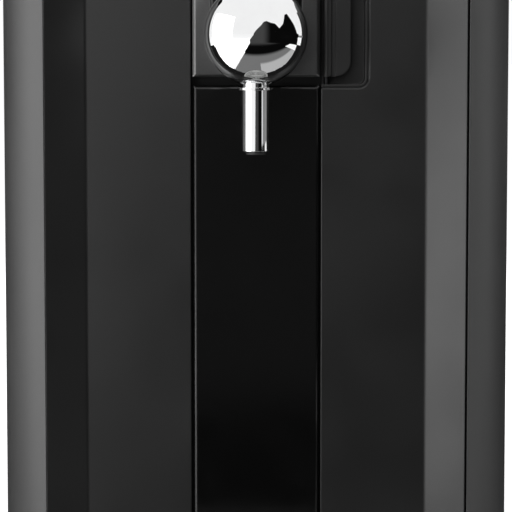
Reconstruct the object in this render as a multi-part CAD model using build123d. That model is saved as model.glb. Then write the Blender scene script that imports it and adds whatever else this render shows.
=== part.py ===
from build123d import *
import math
import os

# Home beer dispenser for small kegs: an insulated cabinet with a swinging front door,
# a chrome ball tap with a pull handle, a pull grip that frees the door latch, a
# thermoelectric cooling pack at the back, an air pump on the top deck and a drip tray.
# Modelling frame: millimetres, +Z up from the floor, +X to the viewer's right, and
# y = 0 on the front crests of the housing with +Y to the back.  The finished pieces
# are moved along Y at the end, so that the origin lies below the middle of the object.

# ---- housing ---------------------------------------------------------------------
BODY_W = 260.0          # width over the side casings
BODY_D = 355.0          # front crests to back
BODY_TOP = 425.0        # top of the housing above the floor
FRONT_CORNER_R = 40.9   # plan radius of the front corners
FRONT_CORNER_Y = 37.0   # where those corners run into the flat sides
REAR_CORNER_R = 30.0
TOP_FRONT_R = 55.0      # front edge of the roof
TOP_REAR_R = 60.0
TOP_SIDE_R = 26.0
WALL = 3.0              # casing walls
CREASE_HALF = 86.4      # half width of the sunken centre face
VALLEY = 12.0           # how far the centre face lies behind the crests
BEVEL_W = 20.1          # width of the slope from crease to crest
PARTING = 0.5           # half of the joint line between door and casing
CREASE_R = 3.0          # rounding where the slopes meet the sunken face
INLAY_T = 1.5           # dark front panels, laid over the door's moulding from channel to crest
INLAY_GAP = 0.25        # joint line along the crests
CASING_EDGE_R = 2.0     # left casing beside the door
SEAM = 0.3              # joint line between fixed covers
CONTACT = 0.12          # between curved pieces that lie against each other

# ---- levels ----------------------------------------------------------------------
FOOT_H = 6.0
FOOT_R = 10.0
FOOT_TAPER = 1.5
FOOT_X = 108.0
FOOT_Y = (62.0, 318.0)
BASE_TOP = 36.0
DOOR_Z0 = 38.0
DOOR_Z1 = 372.0
DOOR_GAP = 1.0
DOOR_BACK = 40.0        # rear plane of the door

BASE_RIB_H = 5.0        # low ribs under the base's platform
BASE_RIB_T = 2.5
BASE_RIB_X = 75.0
BASE_RIB_Y = (120.0, 200.0, 280.0)
BOSS_WALL = 2.0

# ---- keg chamber -----------------------------------------------------------------
KEG_R = 95.0
KEG_CLEAR = 3.0         # air round the keg
LINER_WALL = 2.5
CHAMBER_Z0 = 52.0
CHAMBER_Z1 = 352.0
FLANGE_Y = 44.0         # front of the liner's flange, where the door seal lies
FOAM_BACK = 268.0
FOAM_TOP = 368.0
SEAL_REACH = 3.7
SEAL_W = 3.8
SEAL_OUT_R = 6.0
SEAL_IN_R = 3.0
DOOR_LINER_T = 2.0
HATCH_HALF = 22.0       # opening in the door's back for tap nut and beer line
HATCH_H = 42.0
CHANNEL_BACK = 2.5      # wall behind the strip's channel

# ---- centre strip, tap panel, insert ----------------------------------------------
CHANNEL_HALF = 33.1
STRIP_GAP = 1.0
CHANNEL_DEPTH = 4.0
STRIP_CHAMFER = 1.3
STRIP_TOP = 312.3
PANEL_BOTTOM = 316.6
PANEL_PROUD = 1.5
INSERT_HALF = 23.0
INSERT_PROUD = 1.2
INSERT_ROUND_Z = 345.0
INSERT_TOP = DOOR_Z1 - 6.0
INSERT_DEPTH = 0.5      # pocket behind the face
INSERT_CHAMFER = 0.9
PANEL_END = 0.6         # strip and panel stop short of the door's ends

# ---- tap ---------------------------------------------------------------------------
BALL_R = 25.5
BALL_DEPTH = 19.0       # half depth: the ball is flattened towards the door
BALL_RIM_R = 15.0       # its section's radius at the rim
BALL_WALL = 2.0
BALL_Y = -22.0
BALL_Z = 338.0
NECK_R = 15.0
TAP_FLANGE_R = 19.0
TAP_FLANGE_T = 1.6
SHANK_R = 12.5          # threaded shank through the door wall
NUT_R = 20.0
NUT_T = 6.0
LINE_R = 4.3            # bore for the keg's own beer line
LINE_Z = 329.5
SPOUT_R = 6.55
SPOUT_WALL = 1.0
SPOUT_END = 280.6
NOZZLE_R = 4.9
NOZZLE_DROP = 1.7
COLLAR_R = 8.4
COLLAR_T = 1.1
AXLE_R = 2.0
RUN_FIT = 0.04          # radial clearance of running fits
SEAT_FIT = 0.02         # radial clearance of parts that are only seated
SLIP_FIT = 0.05         # round flat parts set into a pocket
LEVER_TILT = 22.0       # degrees the handle comes forward
STEM_R = 3.5
ARM_LEN = 9.5           # axle to plunger
ARM_T = 2.2
ARM_TIP_R = 2.3
CHEEK_X = 6.0           # inner faces of the two cheeks that carry the axle
CHEEK_T = 2.2
CHEEK_FRONT = 4.5       # cheeks in front of the axle
CHEEK_HALF = 6.0
POST_W = 5.0            # posts beside the plunger
SEAT_T = 1.4
GUIDE_R = 1.2           # pin inside the plunger's spring
ANVIL_T = 3.0
SHANK_SHORT = 4.0       # shank ends before the door's back
SPOUT_LAP = 7.0         # spout inside the ball
COLLAR_DROP = 1.9
NOZZLE_WALL = 1.0
NOZZLE_LEN = 8.0
SPRING_R = 2.4
SPRING_WIRE = 0.35
SPRING_TURNS = 4
BLADE_T = 2.4           # pinching edge of the plunger
SLOT_EASE = 0.6         # lever slot wider than the stem on each side
HOLDER_EDGE = 2.0
HANDLE_BORE = 9.0
HANDLE_STEM = 22.0
HANDLE_R0 = 4.6
HANDLE_R1 = 6.4
MEDALLION_PROUD = 1.2
MEDALLION_EDGE = 1.0
HUB_HALF = 5.5
HUB_OUT_R = 5.0
PLUNGER_Y = 3.5         # half depth of the plunger
PLUNGER_TOP = 345.5
SPRING_SEAT = 353.0
PINCHED = 2.0           # thickness of a pinched line under the plunger
HANDLE_Z0 = 374.0
HOLDER_R = 26.0
HANDLE_TOP = 440.0
HOLDER_T = 9.0
MEDALLION_R = 22.0
MEDALLION_T = 3.0
LOOSE = 0.3             # clearance between bodies that move apart

# ---- door grip and latch ------------------------------------------------------------
GRIP_W = 23.7           # recess beside the strip's channel
GRIP_Z0 = 311.3
GRIP_Z1 = 367.0
GRIP_CORNER_R = 5.0
GRIP_DEPTH = 13.0
CUP_WALL = 1.5
CUP_SINK = 0.6          # rim of the cup below the door face
CUP_LIP = 0.4
RECESS_CHAMFER = 0.8
PADDLE_W = 15.3
PADDLE_Z0 = 316.6
PADDLE_T = 2.6
PADDLE_CORNER_R = 8.0
PADDLE_SINK = 1.2       # paddle face below the door face
PADDLE_CHAMFER = 0.6
KNUCKLE_IN = 2.8        # grip pin from the channel's edge
KNUCKLE_Y = 15.4
KNUCKLE_R = 2.3
GROOVE_IN = 6.1
GROOVE_W = 2.0
GROOVE_DEPTH = 1.2
PIN_R = 1.2
PIN_SEAT = 1.5          # depth of the hook pin's seat in the door's top
CRANK_LEN = 14.0        # grip pin to latch bar
GRIP_PULL = 14.0        # degrees the paddle turns
CRANK_TIP_R = 1.8
CRANK_W = 2.4
LINK_H = 3.0            # height of crank and hook
BAR_W = 4.0
BAR_FORK = 5.0          # half length of the bar's forks
HOOK_NECK_W = 2.2
HOOK_HUB_R = 3.0
HOOK_HUB_LIP = 2.0
LATCH_Z = 361.0
LATCH_T = 4.0           # height of the latch bar
KEEPER_T = 2.2
KEEPER_Z = LATCH_Z - 7.4
KEEPER_HALF = 7.0
GUIDE_X = (66.0, 72.0)
BAR_Y = KNUCKLE_Y + CRANK_LEN
HOOK_ARM = 6.5          # hook pivot to latch bar
HOOK_X = 92.0
HOOK_NOSE = 5.5         # how far the nose stands to the side
HOOK_W = 3.0
HOOK_BACK = 16.0        # hook pivot to the back of the nose
STRIKE_T = 1.5
STRIKE_H = 11.0
STRIKE_SLOT_H = 6.4
STRIKE_RIM = 2.5
LATCH_ROOM = 14.0       # depth of the hollow in the foam behind the strike
COVER_SCREW_X = 76.0    # screws that hold the rear cover
COVER_SCREW_Z = (52.0, 330.0)
COVER_SCREW_R = 3.2
COVER_SCREW_SINK = 1.0  # head below the cover's face
COVER_SCREW_LEN = 10.0
SCREW_R = 1.5
SCREW_HEAD_T = 1.9
CROSS_W = 0.8           # cross recess of the screws
CROSS_LEN = 3.8
CROSS_DEPTH = 1.2
LOUVRE_R = 45.0         # louvres over the fan
LOUVRE_PITCH = 8.0
LOUVRE_H = 4.0
INTAKE_COUNT = 5
INTAKE_PITCH = 22.0
INTAKE_W = 14.0
INTAKE_H = 3.5
INTAKE_Z = (106.0, 114.0, 122.0)
HOOK_SWING = 10.5       # room to the left of the hook axis
STRIKE_EDGE = 3.2       # hook axis to the edge that the nose catches

# ---- hinge --------------------------------------------------------------------------
HINGE_INSET = 3.4       # axis from the door's left side and from its back
HINGE_PIN_R = 1.75
STILE_W = 11.0
STILE_DEPTH = 10.0
HINGE_PIN_Z0 = 26.0     # lower end of the lower pin
HINGE_LAP = 10.0        # how far the pins reach into the door

# ---- drip tray ------------------------------------------------------------------------
TRAY_REACH = 140.0      # tip of the tray in front of the crests
TRAY_HALF = 88.0
TRAY_BACK = 40.0        # end of the tray's tongue in the base
TONGUE_HALF = 78.0
TONGUE_T = 5.0
TRAY_TOP = 35.0
TRAY_STRAIGHT = 72.0    # where the straight sides run into the round front
TRAY_WALL = 2.5
TRAY_BAY_FLOOR = 3.0
TRAY_FLOOR = 3.0
TRAY_EDGE = 2.0
TRAY_FOOT_X = 55.0
TRAY_FOOT_R = 8.0
GRID_FRAME = 5.0        # solid edge of the grid beyond its ledge
GRID_FIRST = 14.0       # first slot from the crests
GRID_RIB = 5.0          # rib down the middle
GRID_T = 3.0
GRID_LEDGE = 3.0
GRID_GAP = 0.5
SLOT_W = 4.0
SLOT_PITCH = 10.0

# ---- cooling pack ---------------------------------------------------------------------
COOL_Z = 200.0
COLD_HALF = 38.0
COLD_PROUD = 2.0        # cold plate behind the foam
PELTIER_HALF = 20.0
PELTIER_T = 4.0
SINK_HALF_X = 54.0
SINK_HALF_Z = 58.0
SINK_BASE = 5.0
FIN_H = 30.0
FIN_T = 1.6
FIN_COUNT = 13
FAN_HALF = 46.0
FAN_T = 20.0
FAN_R = 42.0
HUB_R = 15.0
BLADES = 7
BLADE_PITCH = 32.0
SHAFT_R = 2.0
FAN_CORNER_R = 4.0
FAN_SCREW_IN = 5.5
FAN_TIP_GAP = 1.2
SPIDER_T = 2.0
SPIDER_ARM = 4.0
BEARING_R = 5.0
BEARING_LEN = 8.0
ROTOR_LEN = 13.0
HUB_WALL = 2.0
BLADE_WALL = 1.6
BLADE_W = 17.0

# ---- deck, pump, electrics --------------------------------------------------------------
DECK_T = 2.0
DECK_HALF = 100.0
DECK_RIB_X = 95.0
DECK_RIB_H = 8.0
BOARD_T = 1.6
BOARD_POST = 7.0        # height of the posts under the board
BOARD_POST_R = 3.0
BOARD_POSTS_X = (-84.0, -26.0)
BOARD_POSTS_Y = (186.0, 264.0)
BOARD_AREA = (-90.0, -20.0, 180.0, 270.0)
BOARD_BLOCKS = (        # place on the board from its corner, and height
    ((6.0, 38.0, 20.0, 52.0), 22.0),
    ((10.0, 34.0, 62.0, 82.0), 9.0),
    ((44.0, 62.0, 60.0, 78.0), 4.0),
)
CAPACITORS = ((54.0, 26.0), (54.0, 44.0))
CAPACITOR_R = 6.0
CAPACITOR_H = 16.0
PUMP_R = 17.0
PUMP_LEN = 54.0
PUMP_X = 50.0
PUMP_Y = 236.0
PUMP_LIFT = 2.0
PUMP_EDGE = 2.5
PUMP_HEAD = 28.0
PUMP_HEAD_R = 4.0
NIPPLE_LEN = 8.0
CRADLE_HALF = 12.0
CRADLE_GRIP = 6.0
HOSE_R = 3.0
HOSE_BORE = 1.5
HOSE_BEND = 15.0
COUPLER_R = 21.0
COUPLER_Z0 = 306.0
COUPLER_WALL = 5.0
COUPLER_NECK = 3.0      # neck thinner than the cup by this much
COUPLER_BRIM = 6.0
COUPLER_CUP = 14.0
COUPLER_SEAL_T = 3.0
WINDOW_X0 = 40.0
WINDOW_X1 = 80.0
WINDOW_Z0 = 388.0
WINDOW_Z1 = 403.0
WINDOW_GAP = 0.2
WINDOW_SINK = 0.3
WINDOW_T = 2.0
DISPLAY_GAP = 1.0       # display board behind the roof's wall
DISPLAY_T = 2.0
INLET_X = -52.0
INLET_HALF_X = 14.0     # cut-outs in the rear cover
INLET_HALF_Z = 10.0
SWITCH_X = 52.0
SWITCH_HALF_X = 10.5
SWITCH_HALF_Z = 7.0
PORT_FIT = 0.2
PORT_RIM = 3.0          # flange round the inlet
SWITCH_RIM = 2.0
REAR_PORT_Z = 74.0
ROCKER_THROW = 14.0
ROCKER_SINK = 3.0       # pivot below the rear face
ROCKER_HALF = 8.2
ROCKER_H = 10.2
ROCKER_RISE = 4.2       # face above the pivot
PIVOT_R = 1.2
INLET_DEPTH = 20.0
INLET_FLANGE_T = 1.5
INLET_WALL = 2.3
INLET_PIN = 2.0         # width of a contact
INLET_PINS = ((-6.0, -1.5), (6.0, -1.5), (0.0, 2.5))
SWITCH_DEPTH = 16.0
SWITCH_FLANGE_T = 1.2
SWITCH_WALL = 1.3

NECK_FRONT = BALL_Y + ARM_LEN + PLUNGER_Y + 0.4
GRIP_X1 = CHANNEL_HALF + GRIP_W
PADDLE_X1 = CHANNEL_HALF + PADDLE_W
KNUCKLE_X = CHANNEL_HALF + KNUCKLE_IN
GROOVE_X = CHANNEL_HALF + GROOVE_IN
Y_MID = (BODY_D - TRAY_REACH) / 2
BEVEL = math.atan2(VALLEY, BEVEL_W)
CREST_HALF = CREASE_HALF + BEVEL_W
HINGE_X = -(BODY_W / 2 - HINGE_INSET)
HINGE_Y = DOOR_BACK - HINGE_INSET
FACE_Y = VALLEY
REAR_Y = BODY_D - VALLEY
ROCKER_AXIS_Y = REAR_Y - ROCKER_SINK
CHAMBER_R = KEG_R + KEG_CLEAR
KEG_Y = FLANGE_Y + KEG_CLEAR * 2 + KEG_R + 5.0


def block(x0, x1, y0, y1, z0, z1):
    return Pos((x0 + x1) / 2, (y0 + y1) / 2, (z0 + z1) / 2) * Box(x1 - x0, y1 - y0, z1 - z0)


def rod_z(r, x, y, z0, z1):
    return Pos(x, y, (z0 + z1) / 2) * Cylinder(r, z1 - z0)


def rod_y(r, x, z, y0, y1):
    return Pos(x, (y0 + y1) / 2, z) * Rot(90, 0, 0) * Cylinder(r, y1 - y0)


def rod_x(r, y, z, x0, x1):
    return Pos((x0 + x1) / 2, y, z) * Rot(0, 90, 0) * Cylinder(r, x1 - x0)


def both_sides(edges, plane=Plane.YZ):
    """Close a half outline with its mirror image."""
    return make_face(Curve() + list(edges) + [mirror(edge, about=plane) for edge in edges])


def solid_of(shape):
    """The largest solid of a result, for cuts that leave crumbs."""
    return max(shape.solids(), key=lambda s: s.volume)


def arc_mid(cx, cy, r, a0, a1):
    mid = math.radians((a0 + a1) / 2)
    return (cx + r * math.cos(mid), cy + r * math.sin(mid))


# ---- housing form ---------------------------------------------------------------------
def plan_face(t):
    """Plan outline of the housing, t inside its outer surface."""
    half = BODY_W / 2 - t
    cx = BODY_W / 2 - FRONT_CORNER_R
    r = FRONT_CORNER_R - t
    x_front = cx + math.sqrt(r * r - (FRONT_CORNER_Y - t) ** 2)
    start = math.degrees(math.atan2(t - FRONT_CORNER_Y, x_front - cx))
    back = BODY_D - t
    rr = REAR_CORNER_R - t
    return both_sides([
        Line((0, t), (x_front, t)),
        ThreePointArc((x_front, t), arc_mid(cx, FRONT_CORNER_Y, r, start, 0), (half, FRONT_CORNER_Y)),
        Line((half, FRONT_CORNER_Y), (half, back - rr)),
        ThreePointArc((half, back - rr), arc_mid(half - rr, back - rr, rr, 0, 90), (half - rr, back)),
        Line((half - rr, back), (0, back)),
    ])


def side_edges(t, z0):
    """Side outline from the front foot over the roof to the back foot."""
    top = BODY_TOP - t
    back = BODY_D - t
    rf = TOP_FRONT_R - t
    rr = TOP_REAR_R - t
    return [
        Line((t, z0), (t, top - rf)),
        ThreePointArc((t, top - rf), arc_mid(t + rf, top - rf, rf, 180, 90), (t + rf, top)),
        Line((t + rf, top), (back - rr, top)),
        ThreePointArc((back - rr, top), arc_mid(back - rr, top - rr, rr, 90, 0), (back, top - rr)),
        Line((back, top - rr), (back, z0)),
    ]


def side_face(t, z0):
    return make_face(Curve() + side_edges(t, z0) + [Line((BODY_D - t, z0), (t, z0))])


def front_face(t, z0):
    half = BODY_W / 2 - t
    r = TOP_SIDE_R - t
    top = BODY_TOP - t
    return both_sides([
        Line((0, z0), (half, z0)),
        Line((half, z0), (half, top - r)),
        ThreePointArc((half, top - r), arc_mid(half - r, top - r, r, 0, 90), (half - r, top)),
        Line((half - r, top), (0, top)),
    ])


def full_form(t, z0=0.0):
    """The housing without its valley: plan, side and front outlines meet in one solid."""
    plan = extrude(Pos(0, 0, z0) * plan_face(t), BODY_TOP)
    side = extrude(Plane.YZ * side_face(t, z0), BODY_W, both=True)
    front = extrude(Plane.XZ * front_face(t, z0), BODY_D * 2, both=True)
    return solid_of(plan & side & front)


def valley(t, z0=-5.0):
    """The sunken band that runs up the front, over the roof and down the back."""
    crease = CREASE_HALF + t * math.tan(BEVEL / 2)
    out = 8.0
    rise = VALLEY + out
    wide = crease + rise / math.tan(BEVEL)
    section = make_face(Polyline([(-crease, VALLEY), (crease, VALLEY), (wide, -out), (-wide, -out)], close=True))
    section = fillet(section.vertices().group_by(Axis.Y)[-1], CREASE_R + t)
    path = Plane.YZ * (Curve() + side_edges(t, z0))
    return sweep(Pos(0, t, z0) * section, path)


def housing(t):
    return full_form(t) - valley(t)


OUTER = housing(0)
INNER = housing(WALL)


# ---- casings ---------------------------------------------------------------------------
JAMB = CREST_HALF + PARTING


def left_casing():
    z0 = BASE_TOP + SEAM
    ledge = DOOR_Z1 + DOOR_GAP
    body = full_form(0) & (
        block(-BODY_W, -JAMB, DOOR_BACK + DOOR_GAP, BODY_D, z0, BODY_TOP)
        + block(-BODY_W, -JAMB, -1, DOOR_BACK + DOOR_GAP, ledge, BODY_TOP)
    )
    cavity = full_form(WALL) & (
        block(-BODY_W, 0, DOOR_BACK + DOOR_GAP + WALL, BODY_D, z0 - 1, BODY_TOP)
        + block(-BODY_W, -JAMB - WALL, 0, DOOR_BACK + DOOR_GAP + WALL, ledge + WALL, BODY_TOP)
    )
    pin = rod_z(HINGE_PIN_R + SEAT_FIT, HINGE_X, HINGE_Y, ledge - 1, ledge + WALL + 1)
    casing = solid_of(body - cavity - pin)
    front_edge = casing.edges().filter_by(Axis.Z).filter_by(
        lambda e: abs(e.center().Y - DOOR_BACK - DOOR_GAP) < 0.1 and abs(e.center().X + BODY_W / 2) < 0.1)
    return fillet(front_edge, CASING_EDGE_R)


def right_casing():
    z0 = BASE_TOP + SEAM
    body = full_form(0) & block(JAMB, BODY_W, -1, BODY_D, z0, BODY_TOP)
    jamb_end = FLANGE_Y + LINER_WALL
    cavity = full_form(WALL) & (
        block(JAMB + WALL, BODY_W, 0, jamb_end, z0 - 1, BODY_TOP)
        + block(0, BODY_W, jamb_end, BODY_D, z0 - 1, BODY_TOP)
    )
    return solid_of(body - cavity)


def top_cover():
    z0 = DOOR_Z1 + DOOR_GAP
    x = JAMB - SEAM
    y1 = BODY_D - TOP_REAR_R - SEAM / 2
    shell = OUTER & block(-x, x, -1, y1, z0, BODY_TOP)
    inner_x = x - WALL
    hollow = INNER & block(-inner_x, inner_x, 0, y1 + 1, z0 + WALL, BODY_TOP)
    behind = block(-inner_x, inner_x, FLANGE_Y + 4, y1 + 1, z0 - 1, z0 + WALL + 1)
    window = block(WINDOW_X0, WINDOW_X1, -1, TOP_FRONT_R, WINDOW_Z0, WINDOW_Z1)
    return solid_of(shell - hollow - behind - window)


def display_window():
    pane = housing(WINDOW_SINK) - housing(WINDOW_SINK + WINDOW_T)
    return solid_of(pane & block(WINDOW_X0 + WINDOW_GAP, WINDOW_X1 - WINDOW_GAP, -1, TOP_FRONT_R,
                                 WINDOW_Z0 + WINDOW_GAP, WINDOW_Z1 - WINDOW_GAP))


def display_board():
    board = housing(WALL + DISPLAY_GAP) - housing(WALL + DISPLAY_GAP + DISPLAY_T)
    area = block(WINDOW_X0 - 6, WINDOW_X1 + 6, -1, TOP_FRONT_R, WINDOW_Z0 - 4, WINDOW_Z1 + 4)
    posts = Part() + [
        solid_of(housing(WALL + CONTACT) - housing(WALL + DISPLAY_GAP + 0.2)
                 & block(x - 2, x + 2, -1, TOP_FRONT_R, z - 1.5, z + 1.5))
        for x in (WINDOW_X0 - 4, WINDOW_X1 + 4) for z in (WINDOW_Z0 - 2, WINDOW_Z1 + 2)
    ]
    return solid_of((board & area) + posts)


def rear_ports():
    y0 = REAR_Y - WALL - 1
    inlet = block(INLET_X - INLET_HALF_X, INLET_X + INLET_HALF_X, y0, BODY_D,
                  REAR_PORT_Z - INLET_HALF_Z, REAR_PORT_Z + INLET_HALF_Z)
    switch = block(SWITCH_X - SWITCH_HALF_X, SWITCH_X + SWITCH_HALF_X, y0, BODY_D,
                   REAR_PORT_Z - SWITCH_HALF_Z, REAR_PORT_Z + SWITCH_HALF_Z)
    return inlet, switch


def rear_cover():
    x = JAMB - SEAM
    y0 = BODY_D - TOP_REAR_R + SEAM / 2
    z0 = BASE_TOP + SEAM
    shell = OUTER & block(-x, x, y0, BODY_D, z0, BODY_TOP)
    inner_x = x - WALL
    hollow = INNER & block(-inner_x, inner_x, y0 - 1, BODY_D, z0 + WALL, BODY_TOP)
    cover = solid_of(shell - hollow)
    y1 = REAR_Y - WALL - 2
    slots = Part() + [
        block(-half, half, y1, BODY_D, z - LOUVRE_H / 2, z + LOUVRE_H / 2) for z, half in louvre_rows()
    ]
    intake = Part() + [
        block(x - INTAKE_W / 2, x + INTAKE_W / 2, y1, BODY_D, z - INTAKE_H / 2, z + INTAKE_H / 2)
        for x in (INTAKE_PITCH * (i - (INTAKE_COUNT - 1) / 2) for i in range(INTAKE_COUNT)) for z in INTAKE_Z
    ]
    inlet, switch = rear_ports()
    for x, z in cover_screw_places():
        cover -= rod_y(COVER_SCREW_R + 1.0, x, z, REAR_Y - COVER_SCREW_SINK, BODY_D)
        cover -= rod_y(SCREW_R + 0.2, x, z, REAR_Y - WALL - 1, BODY_D)
    return solid_of(cover - slots - intake - inlet - switch)


def cover_screw_places():
    return [(sx * COVER_SCREW_X, z) for sx in (-1, 1) for z in COVER_SCREW_Z]


def cover_screws():
    """Pan heads with a cross recess."""
    screws = []
    for x, z in cover_screw_places():
        y0 = REAR_Y - COVER_SCREW_SINK
        top = y0 + SCREW_HEAD_T
        head = rod_y(COVER_SCREW_R, x, z, y0, top)
        head = fillet(head.edges().group_by(Axis.Y)[-1], 0.7)
        for a, b in ((CROSS_W / 2, CROSS_LEN / 2), (CROSS_LEN / 2, CROSS_W / 2)):
            head -= block(x - a, x + a, top - CROSS_DEPTH, top + 1, z - b, z + b)
        screws.append(head + rod_y(SCREW_R, x, z, REAR_Y - COVER_SCREW_LEN, y0))
    return Part() + screws


def louvre_rows():
    """Slots over the fan: each row as long as the chord of a circle."""
    count = int(LOUVRE_R // LOUVRE_PITCH)
    heights = [LOUVRE_PITCH * i for i in range(-count, count + 1)]
    return [(COOL_Z + z, math.sqrt(LOUVRE_R ** 2 - z * z)) for z in heights]


# ---- base --------------------------------------------------------------------------------
def base_chassis():
    """Moulded base: open below, with low ribs under its platform and a flat bay for the tray's tongue."""
    slab = extrude(Pos(0, 0, FOOT_H) * plan_face(0), BASE_TOP - FOOT_H)
    bay_z0 = FOOT_H + TRAY_BAY_FLOOR
    bay_half = TONGUE_HALF + 2 * LOOSE
    bay = block(-bay_half, bay_half, -1, TRAY_BACK + 1, bay_z0, bay_z0 + TONGUE_T + 2 * LOOSE)
    wall_y = TRAY_BACK + 1 + WALL
    wall_x = bay_half + WALL
    room = block(-BODY_W, BODY_W, wall_y, BODY_D, 0, BASE_TOP)
    for x0, x1 in ((-BODY_W, -wall_x), (wall_x, BODY_W)):
        room += block(x0, x1, -1, wall_y + 1, 0, BASE_TOP)
    hollow = extrude(Pos(0, 0, FOOT_H - 1) * plan_face(WALL), BASE_TOP - FOOT_H + 1 - WALL) & room
    rib_z0 = BASE_TOP - WALL - BASE_RIB_H
    ribs = Part() + [block(x - BASE_RIB_T / 2, x + BASE_RIB_T / 2, wall_y - 1, BODY_D - 1, rib_z0, BASE_TOP - 1)
                     for x in (-BASE_RIB_X, 0, BASE_RIB_X)]
    ribs += [block(-BODY_W / 2 + 1, BODY_W / 2 - 1, y - BASE_RIB_T / 2, y + BASE_RIB_T / 2, rib_z0, BASE_TOP - 1)
             for y in BASE_RIB_Y]
    bosses = Part() + [rod_z(FOOT_R + BOSS_WALL, x, y, FOOT_H, BASE_TOP - 1) for x, y in foot_places()]
    bosses += rod_z(HINGE_PIN_R + WALL, HINGE_X, HINGE_Y, FOOT_H, BASE_TOP - 1)
    base = slab - bay - (hollow - ribs - bosses)
    pin = rod_z(HINGE_PIN_R + SEAT_FIT, HINGE_X, HINGE_Y, HINGE_PIN_Z0, BASE_TOP + 1)
    return solid_of(base - pin)


def foot_places():
    return [(sx * FOOT_X, y) for sx in (-1, 1) for y in FOOT_Y]


def rubber_feet():
    feet = []
    for x, y in foot_places():
        foot = Pos(x, y, 0) * Cone(FOOT_R - FOOT_TAPER, FOOT_R, FOOT_H, align=(Align.CENTER, Align.CENTER, Align.MIN))
        feet.append(foot)
    return Part() + feet


# ---- keg chamber ---------------------------------------------------------------------------
def chamber_face(grow, y0):
    r = CHAMBER_R + grow
    return both_sides([
        Line((0, y0), (r, y0)),
        Line((r, y0), (r, KEG_Y)),
        ThreePointArc((r, KEG_Y), arc_mid(0, KEG_Y, r, 0, 90), (0, KEG_Y + r)),
    ])


def chamber(grow, y0, z0, z1):
    return extrude(Pos(0, 0, z0) * chamber_face(grow, y0), z1 - z0)


def keg_liner():
    tub = chamber(LINER_WALL, FLANGE_Y, CHAMBER_Z0 - LINER_WALL, CHAMBER_Z1 + LINER_WALL)
    half = JAMB - LOOSE
    flange = block(-half, half, FLANGE_Y, FLANGE_Y + LINER_WALL, BASE_TOP + LOOSE, DOOR_Z1 + DOOR_GAP - LOOSE)
    hollow = chamber(0, FLANGE_Y - 1, CHAMBER_Z0, CHAMBER_Z1)
    hose = rod_z(HOSE_R + LOOSE, 0, KEG_Y, CHAMBER_Z1 - 1, CHAMBER_Z1 + LINER_WALL + 1)
    return solid_of(tub + flange - hollow - hose - strike_slot())


def strike_slot():
    """The opening that the latch hook reaches through."""
    return block(HOOK_X - HOOK_SWING, HOOK_X + STRIKE_EDGE, FLANGE_Y - 1, FLANGE_Y + LINER_WALL + STRIKE_T + 1,
                 LATCH_Z - STRIKE_SLOT_H / 2, LATCH_Z + STRIKE_SLOT_H / 2)


def strike_plate():
    y0 = FLANGE_Y + LINER_WALL
    plate = block(HOOK_X - HOOK_SWING - STRIKE_RIM, JAMB - 1, y0, y0 + STRIKE_T,
                  LATCH_Z - STRIKE_H / 2, LATCH_Z + STRIKE_H / 2)
    return plate - strike_slot()


def insulation():
    half = BODY_W / 2 - WALL - LOOSE
    foam = block(-half, half, FLANGE_Y + LINER_WALL + LOOSE, FOAM_BACK, BASE_TOP + LOOSE, FOAM_TOP)
    tub = chamber(LINER_WALL + LOOSE, FLANGE_Y - 1, CHAMBER_Z0 - LINER_WALL - LOOSE, CHAMBER_Z1 + LINER_WALL + LOOSE)
    cold = block(-COLD_HALF - LOOSE, COLD_HALF + LOOSE, KEG_Y, FOAM_BACK + 1,
                 COOL_Z - COLD_HALF - LOOSE, COOL_Z + COLD_HALF + LOOSE)
    hose = rod_z(HOSE_R + LOOSE, 0, KEG_Y, CHAMBER_Z1, FOAM_TOP + 1)
    latch = block(HOOK_X - HOOK_SWING - STRIKE_RIM - 1.5, BODY_W, FLANGE_Y, FLANGE_Y + LATCH_ROOM,
                  LATCH_Z - STRIKE_H / 2 - 0.5, FOAM_TOP + 1)
    return solid_of(foam - tub - cold - hose - latch)



# ---- door ------------------------------------------------------------------------------
def hinge_round():
    """What is cut away so that the door's rear left edge turns about the hinge axis."""
    reach = HINGE_INSET + 2
    corner = block(HINGE_X - reach, HINGE_X, HINGE_Y, HINGE_Y + reach, DOOR_Z0 - 1, DOOR_Z1 + 1)
    return corner - rod_z(HINGE_INSET, HINGE_X, HINGE_Y, DOOR_Z0 - 2, DOOR_Z1 + 2)


def grip_face(t):
    """Outline of the grip recess: square beside the tap panel, rounded on its outer side."""
    x0, x1, z0, z1 = CHANNEL_HALF + t, GRIP_X1 - t, GRIP_Z0 + t, GRIP_Z1 - t
    r = GRIP_CORNER_R - t
    return make_face(Curve() + [
        Line((x0, z0), (x1 - r, z0)),
        ThreePointArc((x1 - r, z0), arc_mid(x1 - r, z0 + r, r, -90, 0), (x1, z0 + r)),
        Line((x1, z0 + r), (x1, z1 - r)),
        ThreePointArc((x1, z1 - r), arc_mid(x1 - r, z1 - r, r, 0, 90), (x1 - r, z1)),
        Line((x1 - r, z1), (x0, z1)),
        Line((x0, z1), (x0, z0)),
    ])


def along_y(face, y0, y1):
    """Extrude a face drawn in X and Z from y0 back to y1."""
    return Pos(0, y1, 0) * extrude(Plane.XZ * face, y1 - y0)


def door_cavity(t):
    x1 = CREST_HALF - PARTING - t
    stile_x = -BODY_W / 2 + STILE_W + t - WALL
    stile_y = DOOR_BACK - STILE_DEPTH - (t - WALL)
    z0, z1 = DOOR_Z0 + t, DOOR_Z1 - t
    space = block(-BODY_W, x1, 0, stile_y, z0, z1) + block(stile_x, x1, 0, DOOR_BACK + 1, z0, z1)
    grow = t - WALL
    wall = CHANNEL_BACK + grow
    backing = block(-CHANNEL_HALF - wall, CHANNEL_HALF + wall, -1, FACE_Y + CHANNEL_DEPTH + wall, z0 - 1, z1 + 1)
    return space - backing


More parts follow.
